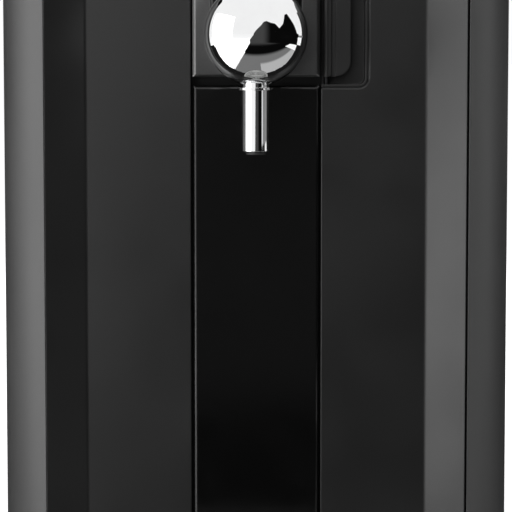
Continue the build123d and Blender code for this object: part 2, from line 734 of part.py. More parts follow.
def door_skin():
    """The door's front and sides before the two dark panels are parted from it."""
    body = OUTER & block(-BODY_W, CREST_HALF - PARTING, -1, DOOR_BACK, DOOR_Z0, DOOR_Z1)
    shell = body - (INNER & door_cavity(WALL)) - hinge_round()
    channel = block(-CHANNEL_HALF, CHANNEL_HALF, -1, FACE_Y + CHANNEL_DEPTH, DOOR_Z0 - 1, DOOR_Z1 + 1)
    shank = rod_y(SHANK_R + LOOSE, 0, BALL_Z, 0, DOOR_BACK)
    grip = along_y(grip_face(0), -1, FACE_Y + GRIP_DEPTH + CUP_WALL + 1)
    pins = rod_z(HINGE_PIN_R + RUN_FIT, HINGE_X, HINGE_Y, DOOR_Z0 - 1, DOOR_Z0 + HINGE_LAP + 1)
    pins += rod_z(HINGE_PIN_R + RUN_FIT, HINGE_X, HINGE_Y, DOOR_Z1 - HINGE_LAP - 1, DOOR_Z1 + 1)
    pins += rod_z(PIN_R + SEAT_FIT, HOOK_X, BAR_Y + HOOK_ARM, DOOR_Z1 - WALL - 1, DOOR_Z1 - WALL + PIN_SEAT + 0.1)
    panel = solid_of(shell - channel - shank - grip - pins)
    rim = panel.edges().filter_by(
        lambda e: abs(e.center().Y - FACE_Y) < 0.01 and e.center().X > CHANNEL_HALF + 1
        and e.center().X < GRIP_X1 + 1 and GRIP_Z0 - 1 < e.center().Z < GRIP_Z1 + 1)
    return chamfer(rim, RECESS_CHAMFER)


DOOR_SKIN = door_skin()


def inlay_room(side, gap):
    """The layer in which a front panel lies, from the strip's channel to the crest of the housing."""
    x0, x1 = sorted((side * CHANNEL_HALF, side * (CREST_HALF - gap)))
    return (OUTER - housing(INLAY_T)) & block(x0, x1, -1, DOOR_BACK, 0, BODY_TOP)


def door_outer_panel():
    """Moulding that carries the door's parts; its round left side shows."""
    return solid_of(DOOR_SKIN - inlay_room(-1, 0) - inlay_room(1, 0))


def left_front_panel():
    return solid_of(DOOR_SKIN & inlay_room(-1, INLAY_GAP))


def right_front_panel():
    return solid_of(DOOR_SKIN & inlay_room(1, 0))


def grip_cup():
    y1 = FACE_Y + GRIP_DEPTH + CUP_WALL
    cup = along_y(grip_face(SLIP_FIT), FACE_Y + CUP_SINK + CUP_LIP, y1)
    cup -= along_y(grip_face(CUP_WALL), 0, y1 - CUP_WALL)
    left_wall = CHANNEL_HALF + CUP_WALL + 0.1
    cup -= block(0, left_wall, 0, KNUCKLE_Y - KNUCKLE_R - SEAM, 0, BODY_TOP)
    cup -= block(0, left_wall, 0, KNUCKLE_Y + KNUCKLE_R + LOOSE, GRIP_Z0 + CUP_WALL, GRIP_Z1 - CUP_WALL)
    swing = CRANK_LEN * math.sin(math.radians(GRIP_PULL)) + CRANK_W / 2 + 2 * LOOSE
    crank = block(KNUCKLE_X - CRANK_W / 2 - 2 * LOOSE, KNUCKLE_X + swing, KNUCKLE_Y + 2 * KNUCKLE_R, DOOR_BACK,
                  LATCH_Z - LINK_H / 2 - 2 * LOOSE, LATCH_Z + LINK_H / 2 + 2 * LOOSE)
    pin = rod_z(PIN_R + SEAT_FIT, KNUCKLE_X, KNUCKLE_Y, GRIP_Z0 - 1, GRIP_Z1 + 1)
    return solid_of(cup - crank - pin)


def grip_pin():
    return rod_z(PIN_R, KNUCKLE_X, KNUCKLE_Y, GRIP_Z0 + 0.1, GRIP_Z1 - 0.1)


def grip_lever():
    """Paddle with a knuckle along its left edge and a crank that reaches the latch bar."""
    y0 = FACE_Y + PADDLE_SINK
    z0, z1 = PADDLE_Z0, GRIP_Z1 - CUP_WALL - 4 * LOOSE
    r = PADDLE_CORNER_R
    outline = make_face(Curve() + [
        Line((KNUCKLE_X, z0), (PADDLE_X1 - r, z0)),
        ThreePointArc((PADDLE_X1 - r, z0), arc_mid(PADDLE_X1 - r, z0 + r, r, -90, 0), (PADDLE_X1, z0 + r)),
        Line((PADDLE_X1, z0 + r), (PADDLE_X1, z1)),
        Line((PADDLE_X1, z1), (KNUCKLE_X, z1)),
        Line((KNUCKLE_X, z1), (KNUCKLE_X, z0)),
    ])
    plate = along_y(outline, y0, y0 + PADDLE_T)
    rim = plate.edges().group_by(Axis.Y)[0].filter_by(lambda e: e.center().X > GROOVE_X)
    plate = chamfer(rim, PADDLE_CHAMFER)
    groove = block(GROOVE_X - GROOVE_W / 2, GROOVE_X + GROOVE_W / 2, 0, y0 + GROOVE_DEPTH, z0 - 1, z1 + 1)
    knuckle = rod_z(KNUCKLE_R, KNUCKLE_X, KNUCKLE_Y, z0, z1)
    low, high = LATCH_Z - LINK_H / 2, LATCH_Z + LINK_H / 2
    crank = block(KNUCKLE_X - CRANK_W / 2, KNUCKLE_X + CRANK_W / 2, KNUCKLE_Y, BAR_Y, low, high)
    crank += rod_z(CRANK_TIP_R, KNUCKLE_X, BAR_Y, low, high)
    bore = rod_z(PIN_R + RUN_FIT, KNUCKLE_X, KNUCKLE_Y, z0 - 1, z1 + 1)
    return solid_of(plate - groove + knuckle + crank - bore)


def latch_bar():
    """Bar from the grip's crank to the hook; both ends are forks round a pin."""
    z0, z1 = LATCH_Z - LATCH_T / 2, LATCH_Z + LATCH_T / 2
    x0, x1 = KNUCKLE_X - BAR_FORK, HOOK_X + BAR_FORK
    half, slot = BAR_W / 2, CRANK_TIP_R + LOOSE
    bar = block(x0, x1, BAR_Y - half, BAR_Y + half, z0, z1)
    bar += block(x0, KNUCKLE_X + BAR_FORK, BAR_Y, BAR_Y + slot + half, z0, z1)
    bar += block(HOOK_X - BAR_FORK, x1, BAR_Y - slot - half + SEAM, BAR_Y, z0, z1)
    bar -= block(KNUCKLE_X - slot, KNUCKLE_X + slot, BAR_Y - half - 1, BAR_Y + slot + SEAM, z0 - 1, z1 + 1)
    bar -= block(HOOK_X - slot, HOOK_X + slot, BAR_Y - slot, BAR_Y + half + 1, z0 - 1, z1 + 1)
    return solid_of(bar - block(HOOK_X - BAR_FORK, x1 + 1, BAR_Y + half / 2, BAR_Y + half + 1, z0 - 1, z1 + 1))


def latch_hook():
    y = BAR_Y + HOOK_ARM
    z0, z1 = LATCH_Z - LINK_H / 2, LATCH_Z + LINK_H / 2
    nose_y = FLANGE_Y + LINER_WALL + STRIKE_T + LOOSE
    hook = block(HOOK_X - HOOK_W / 2, HOOK_X + HOOK_W / 2, y, y + HOOK_BACK, z0, z1)
    hook += block(HOOK_X - HOOK_NECK_W / 2, HOOK_X + HOOK_NECK_W / 2, BAR_Y, y, z0, z1)
    hook += block(HOOK_X, HOOK_X + HOOK_NOSE, nose_y, y + HOOK_BACK, z0, z1)
    hook += rod_z(CRANK_TIP_R, HOOK_X, BAR_Y, z0, z1)
    hook += rod_z(HOOK_HUB_R, HOOK_X, y, z0 - HOOK_HUB_LIP, z1 + HOOK_HUB_LIP)
    return solid_of(hook - rod_z(PIN_R + RUN_FIT, HOOK_X, y, z0 - HOOK_HUB_R, z1 + HOOK_HUB_R))


def hook_pin():
    y = BAR_Y + HOOK_ARM
    return rod_z(PIN_R, HOOK_X, y, KEEPER_Z + 0.9, DOOR_Z1 - WALL + PIN_SEAT)


def latch_keeper():
    """Bracket on the door liner that holds the hook pin and guides the bar."""
    y0, y1 = BAR_Y - BAR_W / 2 - KEEPER_T - SEAM, DOOR_BACK - DOOR_LINER_T
    top = KEEPER_Z + KEEPER_T
    foot = block(HOOK_X - KEEPER_HALF, HOOK_X + KEEPER_HALF, y0, y1, KEEPER_Z, top)
    x0, x1 = GUIDE_X
    guide = block(x0, x1, y0, y1, KEEPER_Z, LATCH_Z + LATCH_T / 2 + LOOSE + KEEPER_T)
    guide -= block(x0 - 1, x1 + 1, BAR_Y - BAR_W / 2 - LOOSE, BAR_Y + BAR_W / 2 + LOOSE,
                   LATCH_Z - LATCH_T / 2 - LOOSE, LATCH_Z + LATCH_T / 2 + LOOSE)
    web = block(x0, HOOK_X, BAR_Y + BAR_W / 2 + 1.0, y1, KEEPER_Z, top)
    pin = rod_z(PIN_R + SEAT_FIT, HOOK_X, BAR_Y + HOOK_ARM, KEEPER_Z - 1, top + 1)
    return solid_of(foot + guide + web - pin)


def door_inner_liner():
    t = WALL + LOOSE
    plate = block(-BODY_W / 2 + STILE_W + LOOSE, CREST_HALF - PARTING - t, DOOR_BACK - DOOR_LINER_T, DOOR_BACK,
                  DOOR_Z0 + t, DOOR_Z1 - t)
    y0, y1 = DOOR_BACK - DOOR_LINER_T - 1, DOOR_BACK + 1
    hatch = block(-HATCH_HALF, HATCH_HALF, y0, y1, CHAMBER_Z1 - HATCH_H - 2.0, CHAMBER_Z1 - 2.0)
    room = HOOK_HUB_R + HOOK_NOSE
    hook = block(HOOK_X - room, HOOK_X + room, y0, y1, LATCH_Z - 4.2, LATCH_Z + 4.2)
    return plate - hatch - hook


def door_seal():
    half, inner = CHAMBER_R + SEAL_W, CHAMBER_R
    y1 = DOOR_BACK + SEAL_REACH
    ring = block(-half, half, DOOR_BACK, y1, CHAMBER_Z0 - SEAL_W, CHAMBER_Z1 + SEAL_W)
    ring = fillet(ring.edges().filter_by(Axis.Y), SEAL_OUT_R)
    hole = block(-inner, inner, DOOR_BACK - 1, y1 + 1, CHAMBER_Z0, CHAMBER_Z1)
    return ring - fillet(hole.edges().filter_by(Axis.Y), SEAL_IN_R)


def door_foam():
    t = WALL + LOOSE
    foam = housing(t) & door_cavity(t) & block(-BODY_W, BODY_W, 0, DOOR_BACK - DOOR_LINER_T - LOOSE, 0, BODY_TOP)
    cup = block(CHANNEL_HALF, GRIP_X1 + 2, 0, FACE_Y + GRIP_DEPTH + CUP_WALL + LOOSE, GRIP_Z0 - 2, GRIP_Z1 + 2)
    latch = block(KNUCKLE_X - 8, CREST_HALF, BAR_Y - 5, DOOR_BACK, LATCH_Z - 8, DOOR_Z1)
    room = NUT_R + 4.0
    nut = block(-room, room, 0, DOOR_BACK, BALL_Z - room - 8.0, BALL_Z + room)
    return solid_of(foam - cup - latch - nut)


def front_strip():
    half = CHANNEL_HALF - STRIP_GAP
    strip = block(-half, half, FACE_Y, FACE_Y + CHANNEL_DEPTH, DOOR_Z0 + PANEL_END, STRIP_TOP)
    return chamfer(strip.edges().group_by(Axis.Y)[0], STRIP_CHAMFER)


def tap_panel():
    half = CHANNEL_HALF - STRIP_GAP
    y0 = FACE_Y - PANEL_PROUD
    panel = block(-half, half, y0, FACE_Y + CHANNEL_DEPTH, PANEL_BOTTOM, DOOR_Z1 - PANEL_END)
    panel = chamfer(panel.edges().group_by(Axis.Y)[0], STRIP_CHAMFER)
    pocket = along_y(insert_face(SLIP_FIT), 0, FACE_Y + INSERT_DEPTH)
    return solid_of(panel - pocket - rod_y(SHANK_R + LOOSE, 0, BALL_Z, 0, DOOR_BACK))


def insert_face(grow):
    """Upright U: round below, straight sides up to the panel's top."""
    r = INSERT_HALF + grow
    top = INSERT_TOP + grow
    return both_sides([
        ThreePointArc((0, INSERT_ROUND_Z - r), arc_mid(0, INSERT_ROUND_Z, r, -90, 0), (r, INSERT_ROUND_Z)),
        Line((r, INSERT_ROUND_Z), (r, top)),
        Line((r, top), (0, top)),
    ])


def tap_insert():
    y0 = FACE_Y - PANEL_PROUD - INSERT_PROUD
    plate = along_y(insert_face(0), y0, FACE_Y + INSERT_DEPTH)
    plate = chamfer(plate.edges().group_by(Axis.Y)[0], INSERT_CHAMFER)
    return solid_of(plate - rod_y(SHANK_R + LOOSE, 0, BALL_Z, 0, DOOR_BACK))


# ---- tap -----------------------------------------------------------------------------------
def flat_ball(t):
    """The tap's rounded housing as a solid, t inside its surface: two shallow caps meet in a round rim."""
    rim_x = BALL_R - BALL_RIM_R
    crown_r = (BALL_DEPTH ** 2 - BALL_RIM_R ** 2 + rim_x ** 2) / (2 * (BALL_DEPTH - BALL_RIM_R))
    back = crown_r - BALL_DEPTH
    lens = Pos(0, back, 0) * Sphere(crown_r - t) & Pos(0, -back, 0) * Sphere(crown_r - t)
    return Pos(0, BALL_Y, BALL_Z) * fillet(lens.edges(), BALL_RIM_R - t)


def tap_body():
    """Shank, flange and neck in one, with the cheeks, anvil and spring seat inside the ball."""
    seat_y = FACE_Y - PANEL_PROUD - INSERT_PROUD
    plunger_y = BALL_Y + ARM_LEN
    front, rear = plunger_y - POST_W / 2, plunger_y + POST_W / 2
    anvil_top = LINE_Z - LINE_R
    outer = CHEEK_X + CHEEK_T
    body = Part()
    for x0, x1 in ((-outer, -CHEEK_X), (CHEEK_X, outer)):
        body += block(x0, x1, BALL_Y - CHEEK_FRONT, NECK_FRONT + 1, BALL_Z - CHEEK_HALF, BALL_Z + CHEEK_HALF)
        body += block(x0, x1, front, rear, BALL_Z, SPRING_SEAT + SEAT_T)
        body += block(x0, x1, front, NECK_FRONT + 1, anvil_top - 1, BALL_Z - CHEEK_HALF + 1)
    body += block(-outer, outer, front, rear, SPRING_SEAT, SPRING_SEAT + SEAT_T)
    body += rod_z(GUIDE_R, 0, plunger_y, BALL_Z + CHEEK_HALF + SEAM, SPRING_SEAT + 0.5)
    body += block(-outer, outer, plunger_y - PLUNGER_Y, NECK_FRONT + 1, anvil_top - ANVIL_T, anvil_top)
    body = body & flat_ball(BALL_WALL + LOOSE)
    body += rod_y(NECK_R, 0, BALL_Z, NECK_FRONT, seat_y)
    body += rod_y(TAP_FLANGE_R, 0, BALL_Z, seat_y - TAP_FLANGE_T, seat_y)
    body += rod_y(SHANK_R, 0, BALL_Z, seat_y, DOOR_BACK - SHANK_SHORT)
    bore = rod_y(LINE_R, 0, LINE_Z, NECK_FRONT - 1, DOOR_BACK)
    axle = rod_x(AXLE_R + SEAT_FIT, BALL_Y, BALL_Z, -outer - 1, outer + 1)
    return solid_of(body - bore - axle)


def tap_nut():
    nut = extrude(Plane.XZ * RegularPolygon(NUT_R, 6), NUT_T)
    y1 = FACE_Y + CHANNEL_DEPTH + CHANNEL_BACK + NUT_T
    return Pos(0, y1, BALL_Z) * nut - rod_y(SHANK_R + SEAT_FIT, 0, BALL_Z, 0, DOOR_BACK)


def tap_ball():
    shell = flat_ball(0) - flat_ball(BALL_WALL)
    shell -= rod_y(NECK_R + CONTACT, 0, BALL_Z, BALL_Y + 8, BALL_Y + BALL_DEPTH + 1)
    shell -= rod_z(SPOUT_R + SEAT_FIT, 0, BALL_Y, BALL_Z - BALL_R - 1, BALL_Z - 10)
    half = STEM_R + SLOT_EASE
    room = math.degrees(math.asin(half / (BALL_R - BALL_WALL)))
    reach = BALL_R + 12
    ends = [math.radians(a) for a in (-room, LEVER_TILT + room)]
    wedge = Polyline([(BALL_Y, BALL_Z)] + [
        (BALL_Y - reach * math.sin(a), BALL_Z + reach * math.cos(a)) for a in ends], close=True)
    slot = extrude(Plane.YZ * make_face(wedge), half, both=True)
    return solid_of(shell - slot)


def tap_spout():
    top = BALL_Z - BALL_R + SPOUT_LAP
    collar_z = BALL_Z - BALL_R - COLLAR_DROP
    spout = rod_z(SPOUT_R, 0, BALL_Y, SPOUT_END, top)
    spout += rod_z(COLLAR_R, 0, BALL_Y, collar_z, collar_z + COLLAR_T)
    return spout - rod_z(SPOUT_R - SPOUT_WALL, 0, BALL_Y, SPOUT_END - 1, top + 1)


def spout_nozzle():
    """Plastic outlet pressed up into the spout; its lip shows below the chrome."""
    z0 = SPOUT_END - NOZZLE_DROP
    z1 = SPOUT_END + NOZZLE_LEN
    tube = rod_z(NOZZLE_R, 0, BALL_Y, z0, z1)
    tube += rod_z(SPOUT_R - SPOUT_WALL - SEAT_FIT, 0, BALL_Y, SPOUT_END + NOZZLE_LEN / 4, z1)
    return tube - rod_z(NOZZLE_R - NOZZLE_WALL, 0, BALL_Y, z0 - 1, z1 + 1)


def lever_axle():
    half = CHEEK_X + CHEEK_T
    return rod_x(AXLE_R, BALL_Y, BALL_Z, -half, half)


def tap_lever():
    tip_y = BALL_Y + ARM_LEN
    lever = rod_x(HUB_OUT_R, BALL_Y, BALL_Z, -HUB_HALF, HUB_HALF)
    lever += rod_z(STEM_R, 0, BALL_Y, BALL_Z + AXLE_R + 1, HANDLE_Z0 + HANDLE_BORE)
    lever += block(-ARM_T, ARM_T, BALL_Y, tip_y, BALL_Z - ARM_T / 2, BALL_Z + ARM_T / 2)
    lever += rod_x(ARM_TIP_R, tip_y, BALL_Z, -ARM_T, ARM_T)
    return solid_of(lever - rod_x(AXLE_R + RUN_FIT, BALL_Y, BALL_Z, -HUB_HALF - 1, HUB_HALF + 1))


def pinch_plunger():
    """Block round the lever's tip, with a chamfered foot that ends in the pinching blade."""
    y = BALL_Y + ARM_LEN
    foot = LINE_Z - LINE_R + PINCHED
    half = CHEEK_X - LOOSE
    window, window_x = ARM_TIP_R + LOOSE, ARM_T + LOOSE + 0.1
    body = block(-half, half, y - PLUNGER_Y, y + PLUNGER_Y, foot + BLADE_T, PLUNGER_TOP)
    body = chamfer(body.edges().group_by(Axis.Z)[0].filter_by(Axis.X), PLUNGER_Y - BLADE_T / 2)
    body += block(-half + 1, half - 1, y - BLADE_T / 2, y + BLADE_T / 2, foot, foot + 2 * BLADE_T)
    body -= block(-window_x, window_x, y - PLUNGER_Y - 1, y + PLUNGER_Y + 1, BALL_Z - window, BALL_Z + window)
    return solid_of(body - rod_z(GUIDE_R + 0.1, 0, y, BALL_Z, PLUNGER_TOP + 1))


def plunger_spring():
    y = BALL_Y + ARM_LEN
    end = SPRING_WIRE + SLIP_FIT
    z0, z1 = PLUNGER_TOP + end, SPRING_SEAT - end
    coil = Helix(pitch=(z1 - z0) / SPRING_TURNS, height=z1 - z0, radius=SPRING_R)
    section = Plane(origin=coil @ 0, z_dir=coil % 0) * Circle(SPRING_WIRE)
    return Pos(0, y, z0) * sweep(section, coil)


HOLDER_Z = HANDLE_TOP - HOLDER_R
BADGE_BACK = BALL_Y - HOLDER_T / 2 - MEDALLION_PROUD + MEDALLION_T


def tap_handle():
    """Round holder on a tapered socket, with a seat for the badge."""
    disc = rod_y(HOLDER_R, 0, HOLDER_Z, BALL_Y - HOLDER_T / 2, BALL_Y + HOLDER_T / 2)
    disc = fillet(disc.edges(), HOLDER_EDGE)
    base = (Align.CENTER, Align.CENTER, Align.MIN)
    stem = Pos(0, BALL_Y, HANDLE_Z0) * Cone(HANDLE_R0, HANDLE_R1, HANDLE_STEM, align=base)
    body = disc + stem - rod_z(STEM_R + SEAT_FIT, 0, BALL_Y, HANDLE_Z0 - 1, HANDLE_Z0 + HANDLE_BORE)
    return solid_of(body - rod_y(MEDALLION_R + LOOSE, 0, HOLDER_Z, BALL_Y - HOLDER_T, BADGE_BACK))


def medallion():
    disc = rod_y(MEDALLION_R, 0, HOLDER_Z, BADGE_BACK - MEDALLION_T, BADGE_BACK)
    return fillet(disc.edges().group_by(Axis.Y)[0], MEDALLION_EDGE)


def hinge_pins():
    lower = rod_z(HINGE_PIN_R, HINGE_X, HINGE_Y, HINGE_PIN_Z0, DOOR_Z0 + HINGE_LAP)
    upper = rod_z(HINGE_PIN_R, HINGE_X, HINGE_Y, DOOR_Z1 - HINGE_LAP, DOOR_Z1 + DOOR_GAP + WALL + 0.5)
    return Part() + [lower, upper]


# ---- drip tray -----------------------------------------------------------------------------
def tray_face(t):
    half = TRAY_HALF - t
    tip = -TRAY_REACH + t
    back = -DOOR_GAP - t
    return make_face(Curve() + [
        Line((-half, -TRAY_STRAIGHT), (-half, back)),
        Line((-half, back), (half, back)),
        Line((half, back), (half, -TRAY_STRAIGHT)),
        ThreePointArc((half, -TRAY_STRAIGHT), (0, tip), (-half, -TRAY_STRAIGHT)),
    ])


def drip_tray():
    z0 = FOOT_H + TRAY_BAY_FLOOR + LOOSE
    floor = z0 + TRAY_FLOOR
    ledge = TRAY_TOP - GRID_T - GRID_GAP
    tray = extrude(Pos(0, 0, z0) * tray_face(0), TRAY_TOP - z0)
    low_edge = tray.edges().group_by(Axis.Z)[0]
    tray = fillet(low_edge.filter_by(lambda e: e.center().Y < -TRAY_STRAIGHT / 2 - 10), TRAY_EDGE)
    tray -= extrude(Pos(0, 0, floor) * tray_face(TRAY_WALL + GRID_LEDGE), ledge - floor + 1)
    tray -= extrude(Pos(0, 0, ledge) * tray_face(TRAY_WALL), TRAY_TOP)
    tray += block(-TONGUE_HALF, TONGUE_HALF, -DOOR_GAP - 2, TRAY_BACK, z0, z0 + TONGUE_T)
    for x in (-TRAY_FOOT_X, TRAY_FOOT_X):
        tray += rod_z(TRAY_FOOT_R, x, -TRAY_STRAIGHT - TRAY_FOOT_R, 0, z0 + 1)
    return solid_of(tray)


def drip_grid():
    z0 = TRAY_TOP - GRID_T - GRID_GAP
    grid = extrude(Pos(0, 0, z0) * tray_face(TRAY_WALL + LOOSE), GRID_T)
    sagitta = TRAY_REACH - TRAY_STRAIGHT
    arc_r = (TRAY_HALF ** 2 + sagitta ** 2) / (2 * sagitta)
    arc_y = -TRAY_REACH + arc_r
    rows = int((TRAY_REACH - GRID_FIRST - SLOT_PITCH) // SLOT_PITCH)
    slots = []
    for i in range(rows):
        y = -GRID_FIRST - SLOT_PITCH * i
        half = TRAY_HALF if y > -TRAY_STRAIGHT else math.sqrt(arc_r ** 2 - (y - arc_y) ** 2)
        half -= TRAY_WALL + GRID_LEDGE + GRID_FRAME
        for x0, x1 in ((-half, -GRID_RIB / 2), (GRID_RIB / 2, half)):
            slots.append(block(x0, x1, y - SLOT_W / 2, y + SLOT_W / 2, z0 - 1, z0 + GRID_T + 1))
    return solid_of(grid - (Part() + slots))


# ---- cooling pack ----------------------------------------------------------------------------
COLD_BACK = FOAM_BACK + COLD_PROUD
SINK_Y = COLD_BACK + PELTIER_T
FAN_Y = SINK_Y + SINK_BASE + FIN_H


def cold_plate():
    plate = block(-COLD_HALF, COLD_HALF, KEG_Y, COLD_BACK, COOL_Z - COLD_HALF, COOL_Z + COLD_HALF)
    return plate - rod_z(CHAMBER_R + LINER_WALL + CONTACT, 0, KEG_Y, 0, BODY_TOP)


def peltier_module():
    h = PELTIER_HALF
    return block(-h, h, COLD_BACK, SINK_Y, COOL_Z - h, COOL_Z + h)


def heat_sink():
    z0, z1 = COOL_Z - SINK_HALF_Z, COOL_Z + SINK_HALF_Z
    sink = block(-SINK_HALF_X, SINK_HALF_X, SINK_Y, SINK_Y + SINK_BASE, z0, z1)
    pitch = (2 * SINK_HALF_X - FIN_T) / (FIN_COUNT - 1)
    fins = [block(-SINK_HALF_X + pitch * i, -SINK_HALF_X + pitch * i + FIN_T, SINK_Y + 1, FAN_Y, z0, z1)
            for i in range(FIN_COUNT)]
    return solid_of(sink + fins)


def screw_places():
    offset = FAN_HALF - FAN_SCREW_IN
    return [(sx * offset, COOL_Z + sz * offset) for sx in (-1, 1) for sz in (-1, 1)]


def fan_frame():
    """Square frame with a three-armed spider that holds the bearing."""
    back = FAN_Y + FAN_T
    frame = block(-FAN_HALF, FAN_HALF, FAN_Y, back, COOL_Z - FAN_HALF, COOL_Z + FAN_HALF)
    frame = fillet(frame.edges().filter_by(Axis.Y), FAN_CORNER_R)
    frame -= rod_y(FAN_R, 0, COOL_Z, FAN_Y - 1, back + 1)
    spider = rod_y(HUB_R, 0, COOL_Z, back - SPIDER_T, back) + rod_y(BEARING_R, 0, COOL_Z, back - BEARING_LEN, back)
    arm = block(HUB_R - 2, FAN_R + 1, back - SPIDER_T, back, -SPIDER_ARM / 2, SPIDER_ARM / 2)
    for i in range(3):
        spider += Pos(0, 0, COOL_Z) * Rot(0, 90 + 120 * i, 0) * arm
    frame = frame + spider - rod_y(SHAFT_R + RUN_FIT, 0, COOL_Z, back - BEARING_LEN - 1, back - 1)
    for x, z in screw_places():
        frame -= rod_y(SCREW_R + 0.1, x, z, FAN_Y - 1, back + 1)
    return solid_of(frame)


def fan_rotor():
    """Cup-shaped hub on its shaft, with pitched blades cut to the ring they turn in."""
    y0 = FAN_Y + SPIDER_T
    y1 = y0 + ROTOR_LEN
    hub = rod_y(HUB_R, 0, COOL_Z, y0, y1) - rod_y(HUB_R - HUB_WALL, 0, COOL_Z, y0 + HUB_WALL, y1 + 1)
    hub += rod_y(SHAFT_R, 0, COOL_Z, y0 + 1, FAN_Y + FAN_T - 1.5)
    ring = rod_y(FAN_R - FAN_TIP_GAP, 0, COOL_Z, y0, y1) - rod_y(HUB_R - 0.5, 0, COOL_Z, y0 - 1, y1 + 1)
    blade = Rot(BLADE_PITCH, 0, 0) * Box(FAN_R - HUB_R + 3, BLADE_WALL, BLADE_W)
    blade = Pos((HUB_R + FAN_R) / 2 - 1.5, 0, 0) * blade
    for i in range(BLADES):
        hub += Pos(0, (y0 + y1) / 2, COOL_Z) * Rot(0, 360 / BLADES * i, 0) * blade & ring
    return solid_of(hub)


def fan_screws():
    back = FAN_Y + FAN_T
    screws = []
    for x, z in screw_places():
        shank = rod_y(SCREW_R, x, z, SINK_Y + SINK_BASE, back + 0.5)
        screws.append(shank + rod_y(2 * SCREW_R, x, z, back, back + SCREW_HEAD_T))
    return Part() + screws


# ---- deck, pump, air line ----------------------------------------------------------------------
PUMP_Z = FOAM_TOP + DECK_T + PUMP_R + PUMP_LIFT
PUMP_FRONT = PUMP_Y - PUMP_LEN / 2
BOARD_Z = FOAM_TOP + BOARD_POST
DECK_Y0 = FLANGE_Y + 22.0
DECK_Y1 = BODY_D - TOP_REAR_R - 10.0


def service_deck():
    """Plate over the foam with two stiffening ribs, posts for the board and a cradle for the pump."""
    deck = block(-DECK_HALF, DECK_HALF, DECK_Y0, DECK_Y1, FOAM_TOP, FOAM_TOP + DECK_T)
    for x in (-DECK_RIB_X, DECK_RIB_X):
        deck += block(x - DECK_T / 2, x + DECK_T / 2, DECK_Y0 + 8, DECK_Y1 - 10, FOAM_TOP, FOAM_TOP + DECK_RIB_H)
    for x in BOARD_POSTS_X:
        for y in BOARD_POSTS_Y:
            deck += rod_z(BOARD_POST_R, x, y, FOAM_TOP, BOARD_Z)
    cradle = block(PUMP_X - CRADLE_HALF, PUMP_X + CRADLE_HALF, PUMP_Y - PUMP_LEN / 3, PUMP_Y + PUMP_LEN / 3,
                   FOAM_TOP, PUMP_Z - PUMP_R + CRADLE_GRIP)
    cradle -= rod_y(PUMP_R + CONTACT, PUMP_X, PUMP_Z, PUMP_FRONT - 1, PUMP_FRONT + PUMP_LEN + 1)
    hose = rod_z(HOSE_R + LOOSE, 0, KEG_Y, FOAM_TOP - 1, FOAM_TOP + DECK_T + 1)
    return solid_of(deck + cradle - hose)


def control_board():
    """Board with transformer, two capacitors, relay and driver."""
    x0, x1, y0, y1 = BOARD_AREA
    board = block(x0, x1, y0, y1, BOARD_Z, BOARD_Z + BOARD_T)
    low = BOARD_Z + BOARD_T / 2
    for (cx0, cx1, cy0, cy1), height in BOARD_BLOCKS:
        board += block(x0 + cx0, x0 + cx1, y0 + cy0, y0 + cy1, low, BOARD_Z + height)
    for x, y in CAPACITORS:
        board += rod_z(CAPACITOR_R, x0 + x, y0 + y, low, BOARD_Z + CAPACITOR_H)
    return solid_of(board)


def air_pump():
    """Motor drum with a square pump head and its outlet nipple in front."""
    drum = rod_y(PUMP_R, PUMP_X, PUMP_Z, PUMP_FRONT, PUMP_FRONT + PUMP_LEN)
    drum = fillet(drum.edges().group_by(Axis.Y)[-1], PUMP_EDGE)
    half = PUMP_HEAD / 2
    head = block(PUMP_X - half, PUMP_X + half, PUMP_FRONT - half, PUMP_FRONT + 1, PUMP_Z - half, PUMP_Z + half)
    head = fillet(head.edges().filter_by(Axis.Y), PUMP_HEAD_R)
    nipple = rod_y(HOSE_BORE, PUMP_X, PUMP_Z, PUMP_FRONT - half - NIPPLE_LEN, PUMP_FRONT - half + 1)
    return solid_of(drum + head + nipple)


def air_hose():
    y0 = PUMP_FRONT - PUMP_HEAD / 2
    top = PUMP_Z
    path = FilletPolyline([
        (PUMP_X, y0, top), (PUMP_X, KEG_Y, top), (0, KEG_Y, top), (0, KEG_Y, CHAMBER_Z1 + LINER_WALL - 1),
    ], radius=[HOSE_BEND, HOSE_BEND])
    section = Plane(origin=path @ 0, z_dir=path % 0) * Circle(HOSE_R)
    bore = Plane(origin=path @ 0, z_dir=path % 0) * Circle(HOSE_BORE + SEAT_FIT)
    return sweep(section, path) - sweep(bore, path)


def coupler_head():
    """Hangs from the chamber ceiling and brings air to the keg's valve."""
    top = CHAMBER_Z1
    neck = COUPLER_R - COUPLER_NECK
    cup = COUPLER_R - COUPLER_WALL
    profile = make_face(Polyline([
        (HOSE_BORE, top), (COUPLER_R + COUPLER_BRIM, top), (COUPLER_R + COUPLER_BRIM, top - 3), (neck, top - 6),
        (neck, COUPLER_Z0 + 12), (COUPLER_R, COUPLER_Z0 + 8), (COUPLER_R, COUPLER_Z0),
        (cup, COUPLER_Z0), (cup, COUPLER_Z0 + COUPLER_CUP), (HOSE_BORE, COUPLER_Z0 + COUPLER_CUP + 4),
    ], close=True))
    return Pos(0, KEG_Y, 0) * revolve(Plane.XZ * profile, Axis.Z)


def coupler_seal():
    ring = rod_z(COUPLER_R - 0.5, 0, KEG_Y, COUPLER_Z0 - COUPLER_SEAL_T, COUPLER_Z0)
    return ring - rod_z(COUPLER_R - COUPLER_WALL, 0, KEG_Y, COUPLER_Z0 - COUPLER_SEAL_T - 1, COUPLER_Z0 + 1)


# ---- rear electrics -------------------------------------------------------------------------
def socket_block(x, half_x, half_z, y0, y1, grow=0.0):
    """Upright block about a rear port, between two depths."""
    return block(x - half_x - grow, x + half_x + grow, y0, y1,
                 REAR_PORT_Z - half_z - grow, REAR_PORT_Z + half_z + grow)


